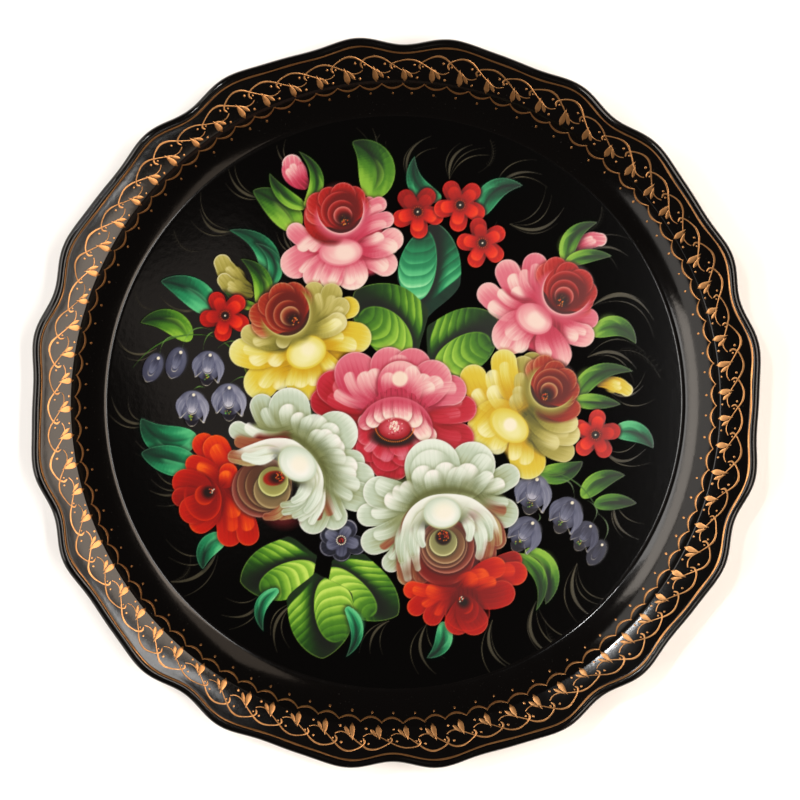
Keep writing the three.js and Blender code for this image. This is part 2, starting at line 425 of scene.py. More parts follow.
def leaf(p, base, tip, width, bend, tones, ribs, lit, front, stalk):
    """A broad leaf. Its front half is an oval of overlapping strokes, each crisp and bright towards the base;
    its back half fans out of the dark groove behind that oval. front says which side the oval is on."""
    base = np.asarray(base, dtype=float)
    chord = np.asarray(tip, dtype=float) - base
    length = math.hypot(*chord)
    area, x, y = p.window(np.stack([base, base + chord]), width)
    u = ((x - base[0]) * chord[0] + (y - base[1]) * chord[1]) / length ** 2
    v = ((y - base[1]) * chord[0] - (x - base[0]) * chord[1]) / length
    held = np.clip(u, 0.0, 1.0)
    v = (v - 4.0 * bend * length * held * (1.0 - held)) * front
    half = width / 2.0 * leaf_outline(u, stalk)
    change = leaf_outline(u + 0.01, stalk) - leaf_outline(u - 0.01, stalk)
    slope = width / 2.0 * change / (0.02 * length)
    gap = (np.abs(v) - half) / np.sqrt(1.0 + np.minimum(slope ** 2, 9.0))
    gap = np.maximum(gap, np.maximum(-u, u - 1.0) * length)
    leafy = p.edge(gap)
    v = v / (width / 2.0)
    wander = 0.012 * np.cos(7.0 * v + 6.0 * p.random.uniform())
    crisp = 2.2 * p.cell * ribs / length

    def fall(count):
        part = count - np.floor(count)
        return (1.0 - part) ** 1.2 * smooth(part, 0.0, crisp) * smooth(count, -0.01, crisp)

    fan = (u - stalk - 0.02 - 0.30 * np.abs(v) ** 1.5 + wander) * ribs
    back = lit * (1.0 - 0.76 * smooth(u, 0.25, 0.98)) * smooth(np.abs(v), 0.03, 0.70)
    level = 0.10 + back * (0.37 * smooth(fan, -0.1, 0.3) + 0.36 * fall(fan))
    level = level + 0.02 * p.streaks(u * 5.0 - v, 6.0)
    p.lay(area, ramp(tones, level), leafy, BODY)

    aside = (v - 0.40) / 0.60
    oval = (np.hypot((u - stalk - 0.38) / 0.385, aside) - 1.0) * width * 0.27
    behind = smooth(-v, -0.75, -0.2)
    groove = np.exp(-(np.maximum(oval, 0.0) / (width * (0.03 + 0.12 * held))) ** 2)
    p.lay(area, np.asarray(tones[0]) * 0.40, leafy * 0.92 * behind * groove, 0.03)
    round_off = 1.0 - np.sqrt(np.clip(1.0 - aside * aside, 0.0, 1.0))
    wave = (u - stalk + 0.01 - 0.24 * round_off + 0.03 * aside + wander) * ribs
    shine = lit * (1.0 - 0.78 * smooth(u, 0.20, 0.92))
    level = 0.16 + shine * (0.41 * smooth(wave, -0.1, 0.3) + 0.33 * fall(wave))
    level = level + 0.02 * p.streaks(aside * 2.0, 6.0)
    p.lay(area, ramp(tones, level), leafy * p.edge(oval), LINE_BODY)
    line = (0.25 + 0.35 * shine) * leafy * np.exp(-((oval + 0.25) / 0.3) ** 2) * behind
    p.lay(area, np.asarray(tones[3]), line, 0.09)
    line = 0.40 * smooth(u, 0.45, 0.95) * leafy * np.exp(-((gap + EDGE_LINE) / EDGE_LINE_WIDTH) ** 2)
    p.lay(area, np.asarray(tones[4]), line, LINE_BODY)


def slim_leaf(p, base, tip, width, bend, tones, lit=1.0):
    """A small curved leaf of three strokes, bright at its foot."""
    line = bow(base, tip, bend, 18)
    blade(p, line, width, tones, 0.72 * lit)
    bright = ramp(tones, np.array(0.80 * lit))
    inner = bow(line[0], line[12], bend * 1.3, 14)
    p.sweep(inner, width * 0.42, bright, 0.75, side=1.0, taper=0.4, soft=0.3)
    vein = bow(line[0], line[15], bend * 0.8, 14)
    p.sweep(vein, width * 0.30, tones[0], 0.55, side=-1.0, taper=0.5, soft=0.5)


def bud(p, foot, tip, width, tones, base, sepals):
    """A bud of a few soft strokes in green sepals, given as (tip, width, bend) from their common base."""
    foot = np.asarray(foot, dtype=float)
    way = np.asarray(tip, dtype=float) - foot
    left = np.array([-way[1], way[0]]) / math.hypot(*way) * width
    line = bow(foot, tip - way / math.hypot(*way) * width * 0.42, 0.10)
    p.lobe(line, width, tones, foot=0.50, tip=0.8, lit=0.70, deep=0.15, shade=0.5, rim=0.9, bristle=0.12)
    for aside, reach, lit in ((0.26, 0.52, 1.0), (0.02, 0.58, 0.95), (-0.24, 0.44, 0.60)):
        line = bow(foot + 0.1 * way + left * aside * 0.4, foot + way * reach + left * aside, 0.1 * aside)
        p.lobe(line, width * 0.40, tones, foot=0.5, tip=0.8, lit=lit, deep=0.30, fade=0.7, soft=0.5,
               bristle=0.12, strength=0.85)
    for sepal_tip, sepal_width, sepal_bend in sepals:
        slim_leaf(p, base, sepal_tip, sepal_width, sepal_bend, GREEN)


def bell(p, top, size, turn, lit, open_mouth):
    """A hanging bluebell: an egg-shaped bell, its petal ends drawn with fine pale lines, and a dark mouth
    with seeds. A closed one is a slimmer egg."""
    def at(x, y):
        return turned(top, turn, x * size, y * size)

    def egg(x, y, across, along, tone, strength, soft):
        p.spot(at(x, y), across * size, tone, strength, soft=soft * size, oval=along / across,
               turn=turn + 90.0)

    def tone(level):
        return ramp(VIOLET, np.array(level * lit))

    def line(points, strength, width=0.5):
        p.thread(spline([at(x, y) for x, y in points]), width, CREAM, strength * (0.4 + 0.6 * lit), taper=0.5)

    wide = 0.48 if open_mouth else 0.31
    if open_mouth:
        egg(0.0, -0.88, 0.24, 0.26, MOUTH, 1.0, 0.0)
        line(((-0.22, -0.96), (-0.10, -1.12), (0.06, -1.13), (0.20, -0.98)), 0.65)
    egg(0.0, -0.46, wide, 0.50, tone(0.34), 1.0, 0.0)
    egg(0.04, -0.42, wide * 0.82, 0.40, tone(0.52), 0.9, 0.10)
    egg(0.10 * wide / 0.48, -0.34, wide * 0.55, 0.26, tone(0.68), 0.8, 0.14)
    if open_mouth:
        for side, low, deep_end in ((-1.0, -0.84, 0.50), (1.0, -1.00, 0.62)):
            end = at(0.37 * side, low)
            p.lobe(bow(at(0.16 * side, -0.16), end, 0.20 * side), size * 0.36, VIOLET, foot=0.7, tip=0.2,
                   lit=deep_end * lit, deep=0.55 * lit, shade=0.35, bristle=0.06, fade=0.3)
            line(((0.43 * side, low + 0.22), (0.41 * side, low - 0.03), (0.26 * side, low + 0.09),
                  (0.14 * side, low + 0.22)), 0.75)
        egg(0.0, -0.86, 0.13, 0.15, MOUTH, 0.9, 0.06)
    middle = 0.20 if open_mouth else 0.13
    p.lobe(bow(at(0.03, -0.18), at(0.0, -0.56), 0.0), size * 2.0 * middle, VIOLET, foot=0.7, tip=0.7,
           lit=0.80 * lit, deep=0.35 * lit, shade=0.45, bristle=0.05)
    line(((-middle, -0.52), (-0.4 * middle, -0.72), (0.5 * middle, -0.71), (middle, -0.54)), 0.85)
    line(((-middle * 0.9, -0.46), (-middle * 0.8, -0.26), (0.0, -0.14)), 0.30, 0.4)
    if open_mouth:
        seeds(p, at(-0.03, -0.85), 0.10 * size, ((0.80, 0.74, 0.20), (0.40, 0.76, 0.26)), 8, 0.36)
    else:
        line(((-0.20, -0.82), (-0.02, -0.97), (0.17, -0.84)), 0.8)
    p.spot(at(0.06, -0.10), 0.05 * size, CREAM, 1.0, body=0.2)


def blue_flower(p, centre):
    """A dark violet blossom with thin pale outlines, pale blue dabs, and a red eye ringed with dots."""
    for angle, reach, lit in ((271, 13.5, 0.10), (209, 14.5, 0.12), (155, 14.0, 0.16), (341, 16.0, 0.16),
                              (60, 14.0, 0.24)):
        line = bow(heading_from(centre, angle, 3.0), heading_from(centre, angle, reach - 5.8), 0.0)
        p.lobe(line, 12.4, VIOLET, foot=0.5, tip=1.0, lit=lit, deep=0.06)
        edge = arc(heading_from(centre, angle, reach - 6.4), 6.1, 5.9, -115.0, 115.0, angle)
        p.thread(edge, 0.6, (0.80, 0.80, 0.84), 0.35 + 1.6 * lit, taper=0.5)
    for angle, reach, lit in ((271, 10.4, 0.40), (205, 9.8, 0.50), (152, 11.0, 0.62), (345, 11.2, 0.56),
                              (62, 9.6, 0.60)):
        line = bow(heading_from(centre, angle, 2.0), heading_from(centre, angle, reach - 3.4), 0.02)
        p.lobe(line, 7.2, VIOLET, foot=0.7, tip=1.0, lit=lit, deep=0.30, fade=0.3, soft=0.5, bristle=0.06,
               shade=0.3)
    p.spot(centre, 2.6, (0.16, 0.03, 0.04), 1.0, soft=0.4)
    seeds(p, centre, 1.5, ((0.70, 0.12, 0.10), (0.50, 0.08, 0.08)), 12, 0.42)
    for step in range(15):
        p.spot(heading_from(centre, 24.0 * step, 2.8), 0.42, CREAM, 1.0, body=0.18)


def grass(p, root, heading, length, curl, count):
    """A spray of fine tendrils that leave one root and curl the same way, with a slim grey-green blade."""
    side = 1.0 if curl >= 0 else -1.0
    for index in range(count):
        spread = heading + (index - (count - 1) / 2.0) * p.random.uniform(13.0, 20.0) * side
        end = heading_from(root, spread, length * p.random.uniform(0.90, 1.35))
        line = bow(root, end, curl * p.random.uniform(0.75, 1.2), 14)
        tone = np.asarray(GRASS) * p.random.uniform(0.65, 1.0)
        if index == count // 2:
            s = np.linspace(0.0, 1.0, len(line))
            radii = np.maximum(length * 0.032 * np.sin(math.pi * s ** 0.8) ** 1.2, 0.10)
            area, gap, along, _ = p.measure(line, radii, 1.0)
            p.lay(area, np.asarray(GRASS) * (0.9 - 0.35 * along[..., None]), 0.85 * p.edge(gap), 0.04)
        else:
            p.thread(line, 0.6, tone, 0.9, taper=0.6, body=0.04)


def fern(p, root, heading, length, curl):
    """A fine feathered tendril."""
    tone = np.asarray(GRASS)
    line = bow(root, heading_from(root, heading, length), curl, 14)
    p.thread(line, 0.45, tone * 0.8, 0.8, taper=0.8, body=0.04)
    for index in range(4, 14):
        for side in (-1.0, 1.0):
            out = heading_from(line[index], heading + side * FEATHER_ANGLE, length * 0.09)
            p.thread(bow(line[index], out, 0.1 * side, 4), 0.34, tone * 0.7, 0.6, body=0.03)


def pink_rose_left(p):
    """The upper pink rose."""
    heart = (-32.3, 109.8)
    p.spot(off(heart, -1, -22), 9.5, PINK[1], 1.0, soft=1.0, oval=3.0)
    p.spot(off(heart, 8, -2), 11.0, PINK[0], 1.0, soft=2.0, oval=1.7, turn=25.0)
    coat(p, heart, PINK, (
        (32, -25, 14, 4, -15, 0.05, 0.8), (-38, -25, 17, -8, -15, -0.08, 0.74),
        (8, -37, 18, 0, -17, 0, 0.92), (-22.6, -34.8, 13, -6, -16, -0.05, 0.76),
        (-10, -37.4, 12.5, -3, -18, 0, 0.88)))
    dabs(p, heart, PINK, (
        (27, -25, 8.5, 6, -16, 0.08, 1.05), (12, -34, 9, 3, -18, 0.04, 1.12), (4, -35, 8, 0, -18, 0, 1.1),
        (-8, -35, 6, -3, -18, 0.05, 1.12), (-28, -27, 4.5, -8, -17, -0.12, 1),
        (-19, -33, 5, -6, -17, -0.1, 1)))
    coat(p, heart, PINK, ((-35, -2, 10.5, -4, -9, 0.16, 0.66), (36, -6, 13, 10, -13, -0.12, 0.82)))
    dabs(p, heart, PINK, (
        (-29, -11.5, 7, -5, -9.5, -0.22, 1.16), (-22, -12.5, 6, -4, -9.5, -0.2, 1),
        (33, -12, 8.5, 12, -13.5, 0.12, 1.16)))
    coat(p, heart, PINK, (
        (17.5, 18, 8, 7, -2, 0.1, 0.58), (24.6, 17.5, 8.5, 7, -4, 0.14, 0.62),
        (30, 7, 9, 7, -7, 0.1, 0.66)), rim=0.3)
    dabs(p, heart, PINK, (
        (16, 14, 3.4, 7, -2, 0.1, 0.82), (23, 14, 4, 8, -3, 0.14, 0.86), (26, 3, 4.6, 8, -7, 0.12, 0.86),
        (24.6, -6.5, 6.5, 5, -8.5, -0.12, 1.16)))
    ball(p, off(heart, -2, -15.6), 13.6, 8.6, 4.0, PINK)
    p.spot(off(heart, 0.5, -15.2), 5.2, PINK[4], 0.6, soft=1.2, oval=1.1)
    coat(p, heart, CUP_RED, ((-22, 13, 11, -7, -5, 0.28, 0.86),), rim=0.2)
    cup(p, off(heart, -2.0, 9.8), 16.2, 8.0, CUP_RED, PINK)


def pink_rose_right(p):
    """The pink rose at the right."""
    heart = (100.0, 60.5)
    p.spot(off(heart, -12, -10), 17.0, PINK[1], 1.0, soft=1.5, oval=1.5, turn=-35.0)
    p.spot(off(heart, -14, 12), 12.0, PINK[1], 1.0, soft=1.5, oval=1.2, turn=-45.0)
    coat(p, heart, PINK, ((27.4, -9, 11.5, 3, -5, -0.06, 0.5),), rim=0.35)
    coat(p, heart, PINK, (
        (-13, 32, 14, -8, 3, 0.08, 0.52), (-34, 26, 14, -9, 1, 0.1, 0.64),
        (24, -22, 13, 2, -8, -0.12, 0.78)))
    dabs(p, heart, PINK, (
        (-12, 26, 6, -7, 3, 0.1, 0.72), (-20, 22, 6, -8, 3, 0.14, 0.86),
        (-27.7, 18.5, 7.5, -9, 1, 0.14, 1.08), (-26, 9.5, 8, -9, 0, 0.16, 1.18),
        (14, -22, 8, 2, -9, -0.16, 1.12), (20, -18, 5, 4, -8, -0.1, 0.96)))
    coat(p, heart, PINK, (
        (-47, 9.6, 13, -18, -2, 0.12, 0.72), (-35, -25, 21, -15, -9, -0.06, 0.8),
        (4, -39, 18, -4, -15, -0.06, 0.76)))
    dabs(p, heart, PINK, (
        (-41, -0.5, 8.5, -18, -4, 0.16, 1.16), (-35, 8.5, 6, -14, 0, 0.14, 1.1),
        (-29, -18.5, 11, -15, -9, -0.04, 1.08), (-24, -28, 10, -13, -12, -0.12, 1.12),
        (-33, -25, 6, -15, -10, -0.1, 0.96), (-5.6, -34, 8, -6, -16, -0.14, 1.14),
        (8.5, -35, 9.5, -2, -16, 0.08, 0.88)))
    ball(p, off(heart, -12.4, -8.2), 12.0, 9.2, -28.0, PINK)
    p.spot(off(heart, -10.7, -8.6), 5.0, PINK[4], 0.75, soft=0.9, oval=1.15, turn=-20.0)
    dabs(p, heart, CUP_RED, ((23, -3, 8.5, 4, -4, -0.1, 0.86),), fade=0.5)
    cup(p, off(heart, 7.6, 8.8), 17.0, -40.0, CUP_RED, PINK)


def yellow_rose_left(p):
    """The yellow rose at the left."""
    heart = (-62.2, 48.9)
    p.spot(off(heart, -1, -20), 18.0, YELLOW[1], 1.0, soft=1.5, oval=1.7, turn=12.0)
    p.spot(off(heart, 12, 8), 12.0, OLIVE[1], 1.0, soft=1.5, oval=1.4, turn=30.0)
    coat(p, heart, YELLOW, (
        (37, 14.5, 12, 12, -8, 0.14, 0.56), (45.4, -7, 17, 16, -12, 0.1, 0.66),
        (24.8, -35, 14, 14, -17, -0.1, 0.86), (6, -46.3, 21, 4, -24, 0, 0.66),
        (-30, -42, 19, -7, -25, -0.08, 0.74), (-41, -18, 16, -8, -16, 0.1, 0.8)))
    dabs(p, heart, YELLOW, (
        (37, -13, 9, 18, -14, 0.1, 0.98), (29, -7, 6, 14, -12, 0.1, 0.9), (22, -30, 7, 15, -18, -0.1, 1.1),
        (-13, -40, 9.5, -6, -26, -0.1, 1.12), (-23, -38, 8, -7, -25, -0.1, 0.96),
        (1.8, -39, 10, 3, -25, 0, 1.04), (10.9, -38, 8.5, 9, -24, 0.05, 1.1),
        (-5, -38, 6, 0, -24, -0.05, 0.92), (-29, -22, 9.5, -6, -15, -0.06, 1.08),
        (-17, -24, 8.5, -3, -15, -0.1, 1.18), (-33, -16, 6, -9, -13, 0.08, 0.9)))
    coat(p, heart, OLIVE, (
        (12.7, 25.5, 12, 5.4, -1.2, -0.22, 0.7), (25.4, 23.6, 12, 7, -1, -0.12, 0.66),
        (31.5, 14, 10.5, 8, -2, -0.08, 0.76), (-34, -5, 11, -7, -11, 0.1, 0.8)))
    dabs(p, heart, OLIVE, (
        (15, 19, 5, 6, -1, -0.24, 0.92), (24, 17, 6, 8, -1, -0.14, 0.86), (29, 9.5, 5.5, 8, -2, -0.1, 0.98),
        (-27, -10, 6.5, -6, -11, -0.1, 1.02)))
    coat(p, heart, OLIVE, ((30.5, 2.8, 11, 7, -4, -0.1, 1.02),), rim=0.5)
    dabs(p, heart, YELLOW, ((28, 0.5, 7, 8, -4, -0.12, 1.12),))
    ball(p, off(heart, 6, -17.6), 12.8, 10.2, 22.0, YELLOW)
    p.spot(off(heart, 3, -19.5), 6.4, YELLOW[4], 0.65, soft=1.4, oval=1.05)
    p.spot(off(heart, 7.2, -15.2), 4.6, CREAM, 0.55, soft=1.2)
    coat(p, heart, OLIVE, (
        (-24.8, -3, 9.5, 0, -4.5, -0.2, 0.96), (-12, -12.2, 7.5, 4, -5, -0.22, 1.02)), rim=0.3)
    cup(p, off(heart, -6.4, 7.2), 17.2, 30.0, CUP_BROWN, OLIVE)


def yellow_rose_right(p):
    """The yellow rose at the right."""
    heart = (92.2, 0.4)
    p.spot(off(heart, -20, -10), 19.0, YELLOW[1], 1.0, soft=1.5, oval=1.5, turn=-52.0)
    p.spot(off(heart, 6, -16), 12.0, OLIVE[1], 1.0, soft=1.5, oval=1.4, turn=-40.0)
    coat(p, heart, OLIVE, ((-5.8, 29.7, 13, -5, 2, 0.1, 0.46), (-12.4, 27, 14.5, -7, -3, 0.1, 0.62)))
    coat(p, heart, YELLOW, (
        (-25.7, 31, 14.5, -15, -2, 0.06, 0.66), (-47.5, 20, 15, -27, -4, 0.1, 0.6),
        (-41, -25, 26, -22, -8, -0.04, 0.7), (-5.8, -48, 20, -12, -21, 0, 0.62)))
    coat(p, heart, OLIVE, ((20, -35, 12.5, -3, -23, -0.06, 0.76), (23.6, -23.6, 13, -7, -12, -0.1, 0.94)))
    dabs(p, heart, YELLOW, (
        (-33, 18, 8.5, -16, -3, 0.16, 1.02), (-33, 7, 9, -14, -5, 0.18, 1.1),
        (-24, 24, 6, -15, 0, 0.08, 0.82), (-43, 5, 8.5, -26, -4, 0.16, 1.06),
        (-38, -20, 12, -23, -8, -0.02, 1.04), (-31, -32, 11, -19, -16, -0.1, 1.08),
        (-18.5, -37, 8.5, -13, -21, -0.1, 1.1), (-9.4, -40, 9.5, -11, -22, 0.02, 0.94)))
    dabs(p, heart, OLIVE, (
        (-14, 17, 7, -7, -3, 0.12, 0.86), (-18.5, 2, 9.5, -7, -6, 0.18, 1.08),
        (-16, 8, 7, -7, -5, 0.16, 0.96), (10, -30, 9.5, -7, -14, -0.14, 1.12),
        (17, -22, 7, -4, -12, -0.12, 1.04)))
    ball(p, off(heart, -20.0, -15.8), 13.6, 9.6, -36.0, YELLOW)
    p.spot(off(heart, -19.4, -15.2), 4.2, CREAM, 0.95, soft=0.7)
    coat(p, heart, OLIVE, ((22.7, -15.7, 11, -2, -7.5, -0.14, 1),), rim=0.35)
    coat(p, heart, CUP_BROWN, ((24.5, -4.8, 11, 3, -6, -0.12, 0.52),), rim=0.5)
    cup(p, off(heart, 6.4, 8.4), 15.6, -46.0, CUP_BROWN, OLIVE)


def crimson_peony(p):
    """The peony in the middle: pink petals above, a domed crimson heart below."""
    heart = (-0.4, -17.4)
    p.spot(off(heart, 0.0, 4.0), 22.0, CRIMSON[1], 1.0, soft=3.0, oval=1.75)
    p.spot(off(heart, 0.0, 26.0), 16.0, PINK[1], 1.0, soft=2.0, oval=1.9)
    coat(p, heart, CRIMSON, (
        (37.4, -20, 17, 14, 6, -0.12, 0.34), (47.5, -10, 17, 15, 10, -0.12, 0.44),
        (-52, 18, 16, -10, 15, 0.1, 0.36), (50.5, 12, 15, 12, 16, -0.08, 0.52),
        (-47.5, 29, 19, -10, 19, 0.12, 0.44), (-20, -22, 20, -8, 0, 0, 0.34), (14, -25, 19, 6, -2, 0, 0.36),
        (-4, -31, 24, 0, -4, 0, 0.36)))
    dabs(p, heart, CRIMSON, (
        (-38, 28, 11, -10, 20, 0.2, 0.84), (-42, 19, 8, -10, 17, 0.12, 0.58),
        (-34, 20, 6, -10, 19, 0.16, 0.92), (42, 17, 7, 12, 18, -0.06, 0.86), (41, 9, 7, 13, 14, -0.1, 0.66),
        (34, 5, 6, 14, 12, -0.14, 0.52), (41, -7, 7, 15, 9, -0.14, 0.56), (31, -12, 6, 14, 6, -0.14, 0.48),
        (-10, -27, 9, -2, -8, 0, 0.5), (5, -28, 9, 1, -8, 0, 0.5)))
    coat(p, heart, PINK, ((43.5, 27, 17, 14, 18, 0.08, 0.5), (-33, 43, 24, -8, 20, 0.14, 0.46)))
    coat(p, heart, PINK, (
        (-5, 50, 21, -1, 22, 0.04, 0.56), (14, 49, 21, 6, 22, -0.04, 0.5),
        (30.8, 39, 22, 12, 19, -0.02, 0.6)))
    dabs(p, heart, PINK, (
        (-31, 34, 7, -8, 20, 0.22, 0.86), (-38, 22, 7, -8, 19, 0.14, 0.8), (3, 46, 13, 2, 24, 0, 0.72),
        (38, 27, 9, 14, 19, 0.06, 0.8), (-22, 34, 10, -5, 20, 0.14, 0.96),
        (-15.5, 36.5, 10, -3, 21, 0.1, 1)))
    coat(p, heart, PINK, ((4, 41, 25, 3, 20, 0, 0.72),), rim=0.15)
    dabs(p, heart, PINK, (
        (-5, 35, 8, -1, 21, 0.1, 0.92), (13.4, 39, 10, 6, 20, -0.14, 1), (21, 33, 10, 8, 19, -0.06, 0.98),
        (29, 31, 10, 12, 18, 0.02, 1), (24, 28, 8, 10, 18, 0.06, 1.05)))
    p.spot(off(heart, 3.2, 31.8), 5.0, CREAM, 0.85, soft=0.5)
    p.sweep(arc(off(heart, 3.2, 31.4), 5.4, 5.0, 200.0, 380.0), 2.0, PINK[2], 0.5, side=1.0)

    p.spot(off(heart, 0.4, 2.4), 18.6, CRIMSON[1], 1.0, soft=0.6, oval=1.27)
    p.spot(off(heart, 0.4, 12.0), 8.0, PINK[1], 0.9, soft=3.0, oval=2.2)
    coat(p, heart, CRIMSON, (
        (-18, -19, 16, -10, 4, 0.16, 0.5), (18, -18, 15, 12, 4, -0.16, 0.54),
        (-6, -25, 18, -2, -4, 0.04, 0.46), (8, -22, 17, 4, -4, -0.06, 0.5),
        (-19, -9, 12, -14, 8, 0.16, 0.62), (16, -12, 12, 13, 6, -0.14, 0.66),
        (-8, -18, 14, -5, -4, 0.04, 0.56), (5, -16, 14, 3, -4, -0.04, 0.58)), rim=0.15)
    dabs(p, heart, PINK, (
        (-17, -14, 6, -13, 4, 0.16, 0.62), (16, -14, 6, 13, 4, -0.16, 0.66),
        (-6, -20, 8, -4, -8, 0.04, 0.5), (5, -19, 8, 3, -8, -0.04, 0.54)))
    p.spot(off(heart, -0.7, -4.4), 6.8, EMBER, 0.97, soft=1.2, oval=2.15)
    rows = ((-20, 0.5, 11, -14, 14, 0.20, 0.66), (-14.5, 1.5, 10, -11, 17, 0.10, 0.96),
            (22.0, -9, 12, 17, 13, -0.20, 0.80), (19.0, -6.5, 11, 15, 15, -0.14, 1.05),
            (-8.5, 4.4, 11, -7, 20, 0.05, 1.0), (13.2, 1.6, 11, 10, 19, -0.06, 1.05),
            (-1.8, 5.6, 12, -2, 22, 0.0, 1.05), (5.8, 4.6, 12, 4, 22, 0.0, 1.08))
    petals(p, heart, PINK, rows, foot=0.7, tip=0.95, shade=0.4, rim=0.25, glow=0.2, deep=0.20, bristle=0.10)
    dome = arc(off(heart, 0.4, -1.0), 23.9, 21.6, 200.0, -20.0)
    p.sweep(dome, 8.0, PINK[1], 0.85, side=-1.0, power=1.0, taper=0.3, soft=0.3)
    p.sweep(dome, 3.0, PINK[2], 0.7, side=-1.0, power=1.0, taper=0.3)
    p.sweep(dome, 2.6, CRIMSON[0], 0.30, side=1.0, taper=0.3)
    p.spot(off(heart, 0.0, 0.2), 6.9, CRIMSON[1], 1.0, soft=0.4, oval=1.5)
    p.spot(off(heart, -0.4, 1.2), 5.2, CRIMSON[3], 0.8, soft=1.6, oval=1.5)
    seeds(p, off(heart, -0.4, 1.4), 5.6, (CRIMSON[1], PINK[3]), 40, 0.40)
    seeds(p, off(heart, -0.4, 1.8), 3.2, (CREAM, PINK[4]), 46, 0.46)
    for step in range(30):
        angle = math.radians(188.0 + 164.0 * step / 29.0)
        dot = off(off(heart, 0.0, 1.6), 12.2 * math.cos(angle), 9.6 * math.sin(angle))
        p.spot(dot, 0.42, POLLEN, 0.9, body=0.18)


WHITE_PETAL = dict(rim=0.7, glow=0.16, deep=0.16)
WHITE_DAB = dict(soft=0.3, shade=0.2, deep=0.36, melt=0.4)


def lines_about(heart):
    """Gives a function that draws smooth lines through points about a flower's heart."""
    def at(*points):
        return spline(np.asarray(points, dtype=float) + np.asarray(heart))

    return at


def hood(p, line, taper):
    """The broad bright wall over a white peony's cup."""
    p.sweep(line, 17.0, WHITE[3], 1.0, side=-1.0, power=0.7, taper=taper)
    p.sweep(line, 9.0, WHITE[4], 0.55, side=-1.0, power=0.8, taper=0.3)


def folds(p, lines, strength):
    """Soft grey-green folds in a hood."""
    for line in lines:
        p.sweep(line, 2.2, WHITE[1], strength, side=1.0, power=1.2, taper=0.5, soft=0.2)


def white_ball(p, centre, across, along, turn, start, end):
    """The rounded petal of a white peony, with an olive line round part of its edge."""
    ball(p, centre, across, along, turn, WHITE)
    p.sweep(arc(centre, across + 0.1, along + 0.1, start, end, turn), 1.2, OLIVE[3], 0.8, side=1.0, taper=0.4)


